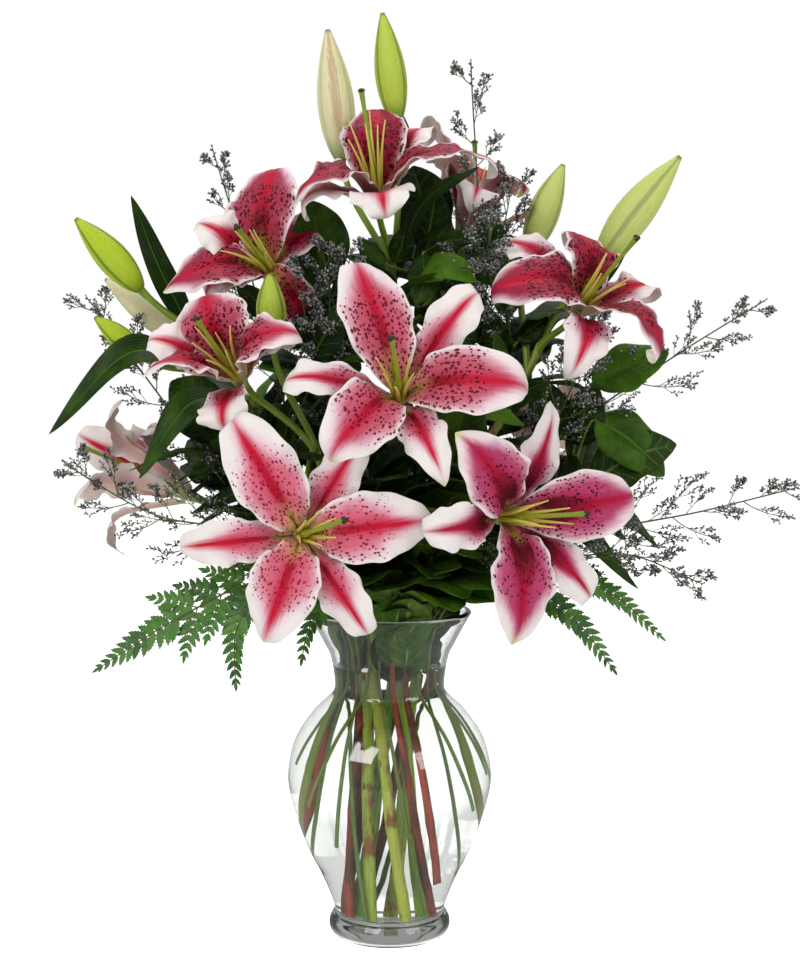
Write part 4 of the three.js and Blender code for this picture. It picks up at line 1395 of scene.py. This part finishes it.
@dataclass
class Bud(Growth):
    """A closed lily bud.

    Attributes:
        foot: Where its pedicel ends.
        tip: Its tip.
        radius: Its greatest radius.
        tone: Its colour.
    """

    foot: Row
    tip: Row
    radius: float
    tone: BudTone = BudTone.GREEN

    def seat(self) -> tuple[Array, Array]:
        """Returns where its pedicel ends and which way it points there."""
        foot = np.array(self.foot, float)
        facing = unit(self.tip - foot)
        return foot + facing * 0.6, facing

    def build(self, bouquet: Bouquet) -> None:
        """Makes the bud: six tepals pressed together, three of them with a raised back."""
        self.begin(bouquet)
        shares = evenly(44)
        sag = math.sin(1.0) * self.radius * 0.12
        middle = mix(np.array(self.foot, float), self.tip, shares[:, None])
        middle = middle + np.outer(np.sin(math.pi * shares) * sag, UP)
        radii = np.maximum(swelling(2 * self.radius, (0.1, 0.965, 0.84, 0.92), shares), 0.3)[:, None]
        back = np.cos(3 * angles_round(48))
        ribs = 0.05 * back - 0.045 * np.exp(-(((1 + back) / 0.07) ** 2))
        ribs = ribs * np.sin(math.pi * np.clip(shares * 1.1, 0, 1))[:, None] ** 0.3
        self.draft.rod(middle, radii * (1 + ribs), 48, 0, (*self.tone.value, self.random.uniform()))
        self.finish("skin", self.tone.slot(), bouquet.palette.bud)
        turns = np.array([around(self.seat()[1], degrees) for degrees in range(0, 361, 30)])
        bouquet.thicket.plant(middle[::4, None] + turns * radii[::4, None])


@dataclass
class LilyLeaf(Growth):
    """A lily leaf that shows on its own.

    Attributes:
        points: Points along its midrib, from inside the stem that it grows on.
        width: Its greatest width.
        lightness: How light its green is.
    """

    points: Rows
    width: float
    lightness: float = 0.3

    def build(self, bouquet: Bouquet) -> None:
        """Makes the leaf."""
        self.begin(bouquet)
        maker = LeafMaker(self, (0, 1), (0.1, 0.998, 0.9, 0.8), 0.9)
        maker.lay(self.points, 34, self.width, partial(lily_relief, self.random.uniform()), self.lightness)
        self.finish("blade", "lily_leaf", bouquet.palette.leaf)


# ---- fillers
@dataclass
class LemonLeafSprig(Stem):
    """A woody twig with lemon leaves.

    Attributes:
        placed: Leaves that show on their own: three points along each one's midrib, and how light
            it is.
        leaves: How many large leaves it has. Smaller ones grow between them.
        lightness: How light its leaves are.
        green: How green its bark is.
        mouth_leaves: How many small upright leaves it has below the mouth, a step apart.
        stalk_length: How far below a placed leaf its stalk leaves the twig.
    """

    placed: Sequence[tuple] = ()
    leaves: int = 6
    mouth_leaves: int = 6
    mouth_step: float = 11.0
    stalk_length: float = 26.0
    lightness: float = 0.15
    green: float = 0.0
    top: float = 1.3
    length: float = 70.0
    width: float = 43.0

    def build(self, bouquet: Bouquet) -> None:
        """Makes the twig and its leaves."""
        self.begin(bouquet)
        spine, random, shares = self.spine, self.random, evenly(80)
        knots = 1 + 0.12 * np.maximum(np.sin(shares * spine.length / 7.5 + random.uniform(0, 6)), 0) ** 6
        tint = (self.green, 0.0, random.uniform())
        self.draft.rod(spine.at(shares), mix(self.radius, self.top, shares) * knots, 10, 0, tint)
        maker = LeafMaker(self, (1, 2), (0.012, 0.996, 0.82, 0.72))
        for *points, lightness in self.placed:
            self.place_leaf(maker, points, lightness)
        lowest = self.above(0.08)
        for number in range(self.leaves):
            self.grow_leaf(maker, mix(lowest, 1.0, number / (self.leaves - 1)), number, 1.0)
        for number in range(self.mouth_leaves):
            share = self.mouth - (self.mouth_leaves - number) * self.mouth_step / spine.length
            self.grow_leaf(maker, share, number * 1.3, random.uniform(0.5, 0.85), 8.0 + 4 * number)
        extra = 3 * self.leaves + 4
        for number in range(extra):
            share = mix(lowest, 0.98, (number + 0.5) / extra)
            self.grow_leaf(maker, share, number * 1.7 + 0.4, random.uniform(0.65, 0.98))
        self.finish("sprig", "lemon_leaf", bouquet.palette.lemon)

    def place_leaf(self, maker: LeafMaker, points: Rows, lightness: float) -> None:
        """Lays a leaf along three points, on a long stalk from the twig."""
        middle = maker.lay(points, 24, 0.68, partial(lemon_relief, self.random.uniform(), 0.2), lightness)
        share = max(self.spine.nearest(points[0]) - self.stalk_length / self.spine.length, 0.02)
        base, foot = self.spine.at(share)[0], middle[0]
        away = unit(middle[1] - foot)
        stalk = bezier([base, base + self.spine.along(share) * 9, foot - away * 9, foot], 9)
        self.draft.rod(stalk, (1.2, 0.8), 8, 0, BARK_TINT)

    def grow_leaf(
        self, maker: LeafMaker, share: float, order: float, size: float, slope: float = 62.0
    ) -> None:
        """Grows one leaf with its short stalk.

        Args:
            maker: What grows leaves.
            share: Where on the twig the leaf starts.
            order: Its place in the spiral of leaves.
            size: Its size against a full-grown leaf.
            slope: The angle between the leaf and the twig, in degrees.
        """
        random, along, base = self.random, self.spine.along(share), self.spine.at(share)[0]
        last = share >= 0.999
        fold = random.uniform(0.12, 0.34)
        options = []
        for attempt, swing in enumerate((0, 14, -14, 30, -30, 48, -48, 70, -70, 110)):
            outwards = around(along, DIVERGENCE * order + swing)
            tilt = math.radians(0 if last else slope - 4 * (attempt % 3))
            heading = along * math.cos(tilt) + outwards * math.sin(tilt)
            length = self.length * size * (1 - 0.035 * attempt)
            foot = base + heading * (-2.0 if last else 5.0)
            knots = [foot, foot + heading * length / 2 + UP * 3, foot + heading * length - UP * 6]
            sideways = unit(np.cross(heading, outwards if last else along))
            options.append((threaded(knots, 20), sideways, self.width * size))
        relief = partial(lemon_relief, random.uniform(), fold)
        lightness = self.lightness + random.uniform(-0.2, 0.2) + 0.45 * (random.uniform() > 0.9)
        if maker.grow(options, relief, float(np.clip(lightness, 0, 1)), size == 1.0):
            reach = self.draft.points[-1][len(ACROSS) // 2] - base
            self.draft.rod(base + reach * evenly(5)[:, None], (1.0, 0.6), 6, 0, BARK_TINT)


def leaflet_shape() -> Array:
    """Returns the rings of a toothed pointed leaflet, one long and one wide."""
    rows = np.arange(13)
    lengths, crest = rows / 12, rows % 2 == 0
    body = swelling(1.0, (0.16, 0.985, 0.85, 0.8), lengths)
    halves = np.maximum(body * np.where(crest, 1.0, 0.74), 0.03)
    crowns = 0.16 * np.sin(math.pi * lengths)
    rings = np.zeros((len(rows), 4, 3))
    rings[:, :, 0] = lengths[:, None]
    rings[:, (0, 2), 0] += 0.055 * crest[:, None]
    rings[:, 0, 1], rings[:, 2, 1] = -halves, halves
    rings[:, 1, 2], rings[:, 3, 2] = crowns + 0.08, crowns - 0.06
    return rings


def floret_shape() -> Array:
    """Returns the rings of a tiny four-sided flower, one long, that flares at its mouth."""
    profile = np.array([(0.14, 0.0), (0.22, 0.45), (0.42, 0.8), (0.5, 1.0)])
    return np.roll(lathe(profile, angles_round(4)), 1, axis=2)


@dataclass
class FernFrond(Stem):
    """A fern frond: a stalk with toothed leaflets, on side ribs where it is broad.

    Attributes:
        reach: Its widest reach to each side.
        lightness: How light its green is.
        ribs: How many pairs of side ribs carry leaflets of their own.
        ribbed: The share of its leafy part that they take up.
        spacing: How far apart its pairs of leaflets are.
        rear: How far back its tip may be for its upper face to show to the front.
    """

    reach: float = 20.0
    lightness: float = 0.4
    ribs: int = 0
    ribbed: float = 0.62
    radius: float = 1.5
    top: float = 0.4
    spacing: float = 5.8
    rear: float = 60.0
    sideways: Array = field(init=False)
    leaflets: Swarm = field(init=False)

    def build(self, bouquet: Bouquet) -> None:
        """Makes the stalk and its leaflets."""
        self.begin(bouquet)
        self.leaflets = Swarm(leaflet_shape())
        spine, random = self.spine, self.random
        self.draft.rod(spine.at(evenly(90)), (self.radius, self.top), 8, 0, self.pattern())
        end = np.array(self.path[-1], float)
        outside = OUTSIDE * (1.0, 1.0 if end[1] <= self.rear else -1.0, 1.0)
        self.sideways = unit(np.cross(end - self.path[0], outside))
        start = self.above(0.08)
        ribbed = mix(start, 1.0, self.ribbed) if self.ribs else start
        for number in range(self.ribs):
            for sign in (-1.0, 1.0):
                self.lay_rib(mix(start, ribbed, (number + 0.2) / self.ribs), sign)
        pairs = int(spine.length * (1 - ribbed) / self.spacing)
        widest = self.reach * (0.5 if self.ribs else 1.0)
        for number in range(pairs):
            share = (number + 0.3) / pairs
            size = widest * (1 - share) ** 0.55 * random.uniform(0.92, 1.08) + 2.5
            at, tone = mix(ribbed, 0.99, share), self.lightness + random.uniform(-0.25, 0.25)
            along, across = self.frame_at(at)
            for sign in (-1.0, 1.0):
                self.lay_leaflet(spine.at(at)[0], along, across * sign, (size, 62 - 30 * share), tone)
        self.lay_leaflet(spine.at(0.985)[0], spine.along(0.99), self.sideways, (6.0, 0.0), self.lightness)
        self.leaflets.join(self.draft, 1)
        self.finish("frond", "fern", bouquet.palette.fern)

    def frame_at(self, share: float) -> tuple[Array, Array]:
        """Returns the directions along and across the frond at a share of its length."""
        along = self.spine.along(share)
        return along, unit(self.sideways - along * np.dot(self.sideways, along))

    def lay_rib(self, share: float, sign: float) -> None:
        """Lays a side rib and its leaflets at a share of the length, on one side."""
        random, foot = self.random, self.spine.at(share)[0]
        along, across = self.frame_at(share)
        face = np.cross(across, along)
        reach = self.reach * random.uniform(1.15, 1.4)
        heading = unit(across * sign * 0.72 + along * 0.7 + face * random.uniform(-0.15, 0.1))
        rib = Spine(bezier([foot, foot + heading * reach * 0.5, foot + heading * reach - face * 3], 9))
        self.draft.rod(rib.points, (0.55, 0.2), 6, 0)
        tone = self.lightness + random.uniform(-0.25, 0.25)
        count = int(reach / 5.0)
        for number in range(count):
            place = (number + 0.8) / (count + 0.6)
            out = rib.along(place)
            broad = unit(np.cross(face, out))
            cut = (12.5 * (1 - place) ** 0.6 + 2, 58 - 25 * place)
            for side in (-1.0, 1.0):
                self.lay_leaflet(rib.at(place)[0], out, broad * side, cut, tone)
        self.lay_leaflet(rib.at(0.93)[0], rib.along(0.95), self.sideways, (7.0, 0.0), tone)

    def lay_leaflet(self, foot: Array, along: Array, across: Array, cut: Row, tone: float) -> None:
        """Lays one toothed leaflet.

        Args:
            foot: Where it starts.
            along: The direction of what carries it.
            across: The direction sideways from that.
            cut: Its length, and the angle between it and what carries it in degrees.
            tone: How light its green is.
        """
        size, angle = cut
        turn = math.radians(angle + self.random.uniform(-5, 5))
        face = unit(np.cross(across, along))
        heading = along * math.cos(turn) + across * math.sin(turn) + face * self.random.uniform(-0.16, 0.12)
        heading = unit(heading)
        broad = unit(np.cross(face, heading))
        tone = tone + self.random.uniform(-0.1, 0.1)
        self.leaflets.add(foot, heading, broad, (size, min(size * 0.5, 8.0), 3.0), tone)


@dataclass
class LavenderSpray(Stem):
    """A spray of sea lavender: wiry twigs with tiny dry flowers.

    Attributes:
        wings: Long side twigs: points that each one passes.
        reach: How far its side twigs reach.
        branches: How many side twigs it has.
        wing_spacing: How far apart they are on a long side twig.
        floret: A flower's length, breadth and depth.
    """

    wings: Sequence[Rows] = ()
    reach: float = 30.0
    branches: int = 24
    wing_spacing: float = 8.0
    floret: Row = (2.5, 1.7, 1.7)
    radius: float = 1.5
    top: float = 0.45
    florets: Swarm = field(init=False)

    def build(self, bouquet: Bouquet) -> None:
        """Makes the twigs and the flowers."""
        self.begin(bouquet)
        self.florets = Swarm(floret_shape())
        spine, shares = self.spine, evenly(90)
        self.draft.rod(spine.at(shares), mix(self.radius, self.top, shares**0.7), 8, 0, self.pattern())
        self.branch(spine, self.above(0.1), self.branches, self.reach)
        for points in self.wings:
            foot = spine.at(max(spine.nearest(points[0]) - 0.1, 0.0))[0]
            wing = Spine(threaded([foot, *points], 40))
            self.draft.rod(wing.points, (0.75, 0.35), 6, 0)
            self.branch(wing, 0.25, int(wing.length / self.wing_spacing), self.reach * 0.75)
        self.florets.join(self.draft, 1)
        self.finish("spray", "sea_lavender", bouquet.palette.lavender)

    def sprout(self, spine: Spine, share: float, number: int, spread: float) -> tuple[Array, Array, Array]:
        """Returns a point of a twig, the way along it there and the way outwards in its spiral."""
        along = spine.along(share)
        angle = DIVERGENCE * number + self.random.uniform(-spread, spread)
        return spine.at(share)[0], along, around(along, angle)

    def branch(self, spine: Spine, lowest: float, count: int, reach: float) -> None:
        """Grows the side twigs of a twig, apart from those that a flower is in the way of.

        Args:
            spine: The twig's middle line.
            lowest: Where on it the first one starts.
            count: How many there are.
            reach: How far they reach.
        """
        for number in range(count):
            share = (number + self.random.uniform(0.2, 0.8)) / count
            foot, along, outwards = self.sprout(spine, mix(lowest, 0.985, share), number, 20)
            length = reach * mix(1.6, 0.65, share) * self.random.uniform(0.7, 1.25)
            middle = foot + unit(along * 0.6 + outwards * 0.8) * length * 0.5
            ending = unit(along + outwards * 0.6 + UP * 0.25)
            way = bezier([foot, middle, middle + ending * length * 0.55], 9)
            if not self.bouquet.thicket.crossings(np.stack([way, way + UP * 0.5], axis=1))[0]:
                self.draft.rod(way, (0.42, 0.2), 4, 0)
                self.fork(Spine(way), length)
        self.flower(Spine(spine.at(np.linspace(0.94, 1.0, 5))), 9)

    def fork(self, rib: Spine, length: float) -> None:
        """Grows the small twigs of a side twig of a length."""
        count = self.random.integers(5, 8)
        for number in range(count):
            share = mix(0.3, 0.95, number / count)
            foot, along, outwards = self.sprout(rib, share, number, 25)
            reach = length * mix(0.5, 0.24, share) * self.random.uniform(0.7, 1.25)
            leaving = unit(along + outwards)
            tip = foot + leaving * reach * 0.6 + unit(along + UP * 0.3) * reach * 0.45
            twig = Spine(bezier([foot, foot + leaving * reach * 0.55, tip], 5))
            self.draft.rod(twig.points, (0.24, 0.13), 4, 0)
            self.flower(twig, int(self.random.integers(5, 9)))
        self.flower(Spine(rib.points[5:]), 6)

    def flower(self, twig: Spine, count: int) -> None:
        """Sets tiny flowers along the outer part of a twig."""
        for number in range(count):
            foot, along, outwards = self.sprout(twig, mix(0.45, 1.0, number / (count - 1)), number, 40)
            heading = unit(along * 0.8 + outwards * self.random.uniform(0.5, 1.2) + UP * 0.2)
            size = np.array(self.floret) * self.random.uniform(0.75, 1.25)
            self.florets.add(foot, heading, around(heading, 0.0), size, self.random.uniform())


# ---- studio
@dataclass
class Studio:
    """The plain floor, the soft lights and the camera."""

    distance: float = 1.25
    height: float = 0.427
    pitch: float = 4.84
    lens: float = 67.5
    shift: float = 0.0109
    floor_half: float = 9.0
    floor_level: float = -0.0002
    glows: Row = (1.0, 0.32, 0.36)

    def build(self) -> None:
        """Sets up the studio."""
        self.lay_floor()
        self.light_world()
        self.hang_lamp("key_light", (-1.5, -2.0, 2.1), 1.5, 42.0)
        self.hang_lamp("fill_light", (1.9, -1.6, 1.5), 1.3, 19.0)
        self.hang_lamp("top_light", (0.1, 0.9, 2.5), 1.6, 24.0)
        self.place_camera()
        view = bpy.context.scene.view_settings
        view.view_transform, view.look = "Standard", "None"

    def lay_floor(self) -> None:
        """Lays a wide sheet of pale paper."""
        mesh = bpy.data.meshes.new("paper_floor")
        corners = ((-1, -1), (1, -1), (1, 1), (-1, 1))
        points = [(x * self.floor_half, y * self.floor_half, self.floor_level) for x, y in corners]
        mesh.from_pydata(points, [], [(0, 1, 2, 3)])
        mesh.materials.append(FloorPaper().dress())
        floor = placed("paper_floor", mesh)

    def light_world(self) -> None:
        """Makes the surroundings white, and softer as a light and in mirrors than they look."""
        graph = Graph("white_surroundings", bpy.data.worlds)
        bpy.context.scene.world = graph.owner
        white = (1.0, 1.0, 1.0, 1.0)
        skies = [graph.node("Background", None, {"Color": white, "Strength": glow}) for glow in self.glows]
        graph.finish(graph.by_ray(*skies), "OutputWorld")

    def hang_lamp(self, name: str, place: Row, size: float, power: float) -> None:
        """Hangs a square soft light that points at the bouquet."""
        lamp = bpy.data.lights.new(name, "AREA")
        lamp.size, lamp.energy = size, power
        holder = placed(name, lamp)
        holder.location = place
        x, y, z = np.array([0.0, 0.0, 0.33]) - place
        holder.rotation_euler = (math.atan2(math.hypot(x, y), -z), 0.0, math.atan2(y, x) - math.pi / 2)

    def place_camera(self) -> None:
        """Places the camera where the photograph was taken from."""
        camera = bpy.data.cameras.new("camera")
        camera.lens, camera.shift_x = self.lens, self.shift
        camera.sensor_width, camera.sensor_fit = 36.0, "AUTO"
        camera.clip_end = 50.0
        holder = placed("camera", camera)
        holder.location = (0.0, -self.distance, self.height)
        holder.rotation_euler = (math.radians(90 - self.pitch), 0.0, 0.0)
        bpy.context.scene.camera = holder


# ---- the arrangement
BLOOMS = (
    Bloom("bloom_centre", (6, -80, 380), (0, -0.9, 0.42), (-5, -82, 41),
          ((-28, 0, 89, 25), (80, -40, 9, 35), (-42, -60, -32, 30)),
          ((54, -5, 68, 80), (28, -48, -48, 25), (-76, -14, 8, 95, 0.9, 20)), 0.34, 1.0),
    Bloom("bloom_lower_left", (-57, -85, 293), (0.05, -0.99, 0.1), (30, -82, 18),
          ((-42, -30, 76, 25), (84, -27, 12, 30), (-22, -40, -62, 25)),
          ((38, -8, 62, 30), (43, -22, -62, 25), (-78, -12, -7, 45)), 0.05, 0.85),
    Bloom("bloom_lower_right", (71, -72, 303), (0.5, -0.86, 0.08), (52, -66, 9),
          ((-26, -50, 57, 30), (88, -4, 15, 30), (10, -43, -76, 25)),
          ((36, -3, 75, 30), (59, -4, -55, 35), (-58, -52, -4, 90)), 0.6, 0.85, True),
    Bloom("bloom_left", (-99, -50, 392), (-0.3, -0.8, 0.5), (-22, -70, 41),
          ((-21, -2, 57, 50, 1.15, 0), (-56, -50, 8, 30, 0.85, 45), (44, -46, 30, 50, 0.85, -25)),
          ((-62, -20, 24, 60), (40, 2, 24, 80), (-3, -40, -39, 110, 1.15, 0)), 0.6, 1.05),
    Bloom("bloom_upper_left", (-81, -5, 465), (-0.25, -0.85, 0.4), (-18, -70, 27),
          ((3, 10, 70, 30, 1.1, -8), (-70, -33, -12, 35, 1.0, 30), (16, 26, -22, 120, 0.6, 0)),
          ((-51, -7, 32, 55, 1.1, 10), (33, 25, 16, 120, 1.0, 40), (-42, 6, -22, 60)), 0.75, 1.05,
          fullest=1.0),
    Bloom("bloom_top", (-8, 5, 512), (-0.1, -0.62, 0.78), (-11, -28, 74),
          ((0, 32, 67, 35, 1.0, 0), (81, -25, 18, 60, 0.9, -42), (-54, -43, 2, 40, 0.95, 26)),
          ((38, 30, 43, 80, 1.1, -20), (7, -54, -22, 90, 1.45, 0), (-53, -24, -16, 100, 1.2, 30)), 0.95, 1.1,
          fullest=0.9),
    Bloom("bloom_right", (126, -20, 436), (0.4, -0.7, 0.6), (34, -58, 49),
          ((-4, 16, 52, 50, 0.95, 15), (-61, -36, 11, 45, 1.0, 10), (50, -40, -36, 90, 0.85, -35)),
          ((-54, 30, 36, 110), (-10, -42, -44, 60, 1.1, 0), (51, 18, 8, 80, 1.0, -50)), 0.85, 1.1,
          fullest=1.0),
    Bloom("bloom_top_rear", (52, 62, 490), (0.3, 0.3, 0.9), (10, 16, 72),
          ((-22, 4, 60, 40), (50, -4, 34, 60), (8, 58, 50, 50)),
          ((62, 16, 6, 130), (-34, 34, 84, 70), (4, -46, 18, 90)), 1.0, 0.6),
    Bloom("bloom_rear_left", (-142, 15, 310), (-0.88, 0.05, 0.42), (-74, -5, 34),
          ((-46, -8, 66, 60), (-76, -28, 0, 30), (-50, 60, 30, 50)),
          ((-14, -16, 52, 110), (-80, 28, 42, 40), (-48, -4, -44, 70)), 0.0, 0.3),
    Bloom("bloom_rear_right", (116, 72, 340), (0.35, 0.9, 0.15), (22, 66, 12),
          ((58, 34, 24, 80), (-34, 48, 36, 50), (2, 58, -44, 50)),
          ((-40, 52, -24, 60), (20, 42, 50, 60), (44, 44, -34, 60)), 0.1, 0.4),
)
BUDS = (
    Bud("bud_left_upper", (-170, -15, 453), (-211, -30, 500), 11),
    Bud("bud_left_lower", (-172, -5, 408), (-201, -18, 434), 8),
    Bud("bud_left_cream", (-150, 18, 420), (-200, 24, 461), 9.5, BudTone.CREAM),
    Bud("bud_inner", (-79, -36, 420), (-80, -44, 463), 10, BudTone.LIME),
    Bud("bud_top_cream", (-34, 50, 546), (-44, 52, 638), 13, BudTone.ROSY_CREAM),
    Bud("bud_top_green", (5, 42, 573), (-5, 42, 648), 11, BudTone.LIME),
    Bud("bud_right_rear", (101, 58, 482), (125, 60, 544), 11.5, BudTone.PALE_LIME),
    Bud("bud_right_large", (147, 15, 475), (201, 10, 545), 13, BudTone.PALE_LIME),
)
LILY_STEMS = (
    ("lily_stem_left_front", 225, ((-34, -26, 290), (-50, -30, 345)), (0.25, 0.55),
     (("bloom_lower_left", 1), ("bloom_left", 1), ("bud_inner", 1))),
    ("lily_stem_front", 297, ((14, -22, 290), (22, -30, 338)), (0.0, 0.1),
     (("bloom_centre", 1), ("bloom_lower_right", 1))),
    ("lily_stem_right", 9, ((45, 6, 310), (84, 8, 372), (104, 12, 410)), (0.5, 0.2),
     (("bloom_right", 2), ("bud_right_large", 2), ("bud_right_rear", 2), ("bloom_rear_right", 0))),
    ("lily_stem_rear", 81, ((4, 26, 330), (4, 36, 430), (2, 40, 470)), (0.15, 0.0),
     (("bloom_top", 2), ("bud_top_cream", 2), ("bud_top_green", 2), ("bloom_top_rear", 1))),
    ("lily_stem_left", 153, ((-50, 16, 300), (-92, 20, 366), (-112, 16, 398)), (0.45, 0.25),
     (("bloom_upper_left", 2), ("bud_left_upper", 2), ("bud_left_lower", 2), ("bud_left_cream", 2),
      ("bloom_rear_left", 0))),
)
LEAVES = (
    LilyLeaf("leaf_left_upright", ((-137, 1, 424), (-158, -9, 468), (-175, -20, 516)), 18, 0.1),
    LilyLeaf("leaf_left_long", ((-140, 4, 404), (-176, -22, 410), (-231, -30, 355)), 25, 0.2),
    LilyLeaf("leaf_left_drooping", ((-96, 19, 372), (-134, -36, 376), (-168, -46, 326)), 24, 0.25),
    LilyLeaf("leaf_under_bud", ((126, 14, 440), (150, 22, 466), (172, 12, 500)), 18, 0.1),
    LilyLeaf("leaf_front", ((19, -28, 322), (58, -43, 371), (90, -54, 362)), 20, 0.8),
    LilyLeaf("leaf_inner_upright", ((88, 9, 380), (76, -4, 410), (72, -14, 424)), 12, 0.5),
    LilyLeaf("leaf_top", ((4, 38, 462), (24, 28, 514), (63, 20, 539)), 13, 0.1),
    LilyLeaf("leaf_top_bud", ((4, 42, 540), (10, 46, 560), (-1, 48, 594)), 12, 0.1),
    LilyLeaf("leaf_low_left", ((-36, -26, 296), (-84, -16, 318), (-136, -20, 300)), 22, 0.2),
    LilyLeaf("leaf_low_right", ((30, 5, 276), (104, -14, 306), (170, -30, 249)), 24, 0.2),
)
LEMON_LEAVES = (
    LemonLeafSprig("lemon_leaf_right", 17, ((96, 22, 290), (142, 10, 318)), (8, 70), leaves=6, green=0.8,
                   placed=(((144, 4, 363), (167, 1, 349), (191, -2, 324), 0.45),
                           ((116, 12, 346), (112, 9, 368), (104, 7, 392), 0.1),
                           ((134, 10, 344), (136, 7, 366), (144, 4, 388), 0.12),
                           ((142, 10, 389), (166, 7, 400), (194, 4, 410), 0.6))),
    LemonLeafSprig("lemon_leaf_right_rear", 51, ((64, 46, 310), (84, 38, 392), (84, 28, 436)), leaves=8,
                   placed=(((82, 14, 409), (73, 11, 423), (66, 8, 435), 0.1),
                           ((90, 16, 417), (101, 13, 427), (111, 10, 434), 0.1),
                           ((56, 6, 446), (50, 3, 425), (56, 0, 410), 0.1),
                           ((78, 34, 469), (71, 31, 489), (68, 28, 507), 0.15))),
    LemonLeafSprig("lemon_leaf_rear", 103, ((10, 62, 330), (36, 58, 440), (28, 50, 486)), leaves=9,
                   placed=(((22, 0, 460), (39, -3, 470), (60, -6, 458), 0.8),
                           ((-3, 24, 472), (-14, 21, 480), (-22, 18, 489), 0.2),
                           ((4, 28, 472), (9, 25, 485), (11, 22, 498), 0.1),
                           ((18, 30, 475), (36, 27, 486), (57, 24, 490), 0.15),
                           ((25, 40, 482), (30, 37, 503), (33, 34, 524), 0.05),
                           ((23, 8, 477), (24, 5, 460), (18, 2, 443), 0.3),
                           ((35, 8, 459), (52, 5, 456), (68, 2, 446), 0.1),
                           ((44, 12, 470), (63, 9, 468), (82, 6, 456), 0.2))),
    LemonLeafSprig("lemon_leaf_top", 120, ((-40, 52, 340), (-42, 26, 420), (-46, 12, 456)), leaves=9,
                   placed=(((-34, 16, 468), (-44, 13, 481), (-55, 10, 487), 0.6),
                           ((-88, 12, 434), (-94, 9, 446), (-106, 6, 456), 0.15),
                           ((-61, -2, 413), (-69, -5, 428), (-74, -8, 444), 0.1),
                           ((-53, -6, 405), (-44, -9, 423), (-33, -12, 440), 0.1),
                           ((-26, 4, 468), (-31, 1, 456), (-41, -2, 446), 0.1))),
    LemonLeafSprig("lemon_leaf_left_rear", 137, ((-70, 66, 310), (-110, 84, 380)), (158, 58), leaves=7),
    LemonLeafSprig("lemon_leaf_left", 171, ((-86, 6, 300), (-120, 0, 350)), (190, 78), leaves=6, green=0.8),
    LemonLeafSprig("lemon_leaf_front_left", 274, ((-8, -50, 280), (-16, -54, 336)), leaves=6),
    LemonLeafSprig("lemon_leaf_front", 291, ((28, -50, 272), (40, -52, 326)), (318, 44), leaves=6,
                   lightness=0.4, placed=(((10, -33, 206), (8, -46, 236), (6, -58, 262), 0.5),)),
)
FERNS = (
    FernFrond("fern_left", 206, ((-84, -42, 256), (-140, -56, 234), (-198, -62, 198)), (198, 124),
              reach=27, ribs=6),
    FernFrond("fern_left_front", 240, ((-70, -78, 262), (-98, -94, 236), (-100, -98, 193)), (214, 100),
              reach=20),
    FernFrond("fern_front", 257, ((-34, -70, 250), (-52, -88, 232), (-58, -92, 208)), reach=14),
    FernFrond("fern_right", 309, ((76, -58, 258), (120, -66, 236), (151, -70, 198)), (330, 96), reach=18),
    FernFrond("fern_right_far", 343, ((96, -16, 262), (150, -20, 246), (190, -20, 212)), (346, 116), reach=17,
              lightness=0.75),
    FernFrond("fern_rear", 86, ((-8, 76, 270), (-20, 116, 270), (-30, 156, 226)), reach=27, ribs=6),
)
LAVENDERS = (
    LavenderSpray("sea_lavender_right", 0, ((120, -4, 278), (220, -2, 300), (285, 0, 316)), (2, 100),
                  reach=34),
    LavenderSpray("sea_lavender_right_low", 326, ((90, -36, 262), (160, -22, 272), (217, -12, 250)),
                  (340, 52), reach=26),
    LavenderSpray("sea_lavender_right_high", 34, ((100, 30, 330), (190, 18, 400), (262, 12, 446)), reach=34,
                  wings=(((109, 10, 350), (128, -5, 390), (145, 10, 440)),)),
    LavenderSpray("sea_lavender_top", 69, ((36, 56, 340), (62, 44, 470), (57, 30, 612)), reach=36,
                  wings=(((74, 46, 468), (82, 48, 500), (88, 48, 532)),
                         ((56, 20, 470), (66, -6, 480), (72, -16, 500)),
                         ((66, 20, 430), (72, -2, 446), (74, -12, 470)))),
    LavenderSpray("sea_lavender_upper_left", 154, ((-70, 44, 350), (-100, 34, 470), (-124, 24, 552)),
                  reach=26,
                  wings=(((-46, 0, 412), (-41, -12, 450), (-47, -14, 484)),
                         ((-58, -4, 424), (-60, -18, 446), (-70, -24, 470)),
                         ((-36, 0, 430), (-30, -14, 456), (-26, -18, 480)))),
    LavenderSpray("sea_lavender_left", 189, ((-100, -4, 300), (-160, 2, 380), (-210, 4, 448)), (176, 46),
                  reach=28),
    LavenderSpray("sea_lavender_left_low", 223, ((-90, -40, 286), (-160, -30, 300), (-222, -12, 332)),
                  (232, 74), reach=32),
)


def main() -> None:
    """Builds the vase, the bouquet and the studio."""
    logging.basicConfig(level=logging.INFO, format="%(name)s %(message)s")
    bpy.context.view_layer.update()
    bouquet = Bouquet(Vase(), Palette())
    bouquet.vase.build()
    bouquet.vase.plant(bouquet.thicket)
    seats = {flower.name: flower.seat() for flower in (*BLOOMS, *BUDS)}
    stems = []
    for name, azimuth, path, skin, carried in LILY_STEMS:
        carries = [(*seats[flower], index) for flower, index in carried]
        stems.append(LilyStem(name, azimuth, path, carries=carries, skin=skin))
    for growth in (*BLOOMS, *BUDS, *LEAVES, *stems, *LEMON_LEAVES, *FERNS, *LAVENDERS):
        growth.build(bouquet)
    Studio().build()


if __name__ == "__main__":
    main()
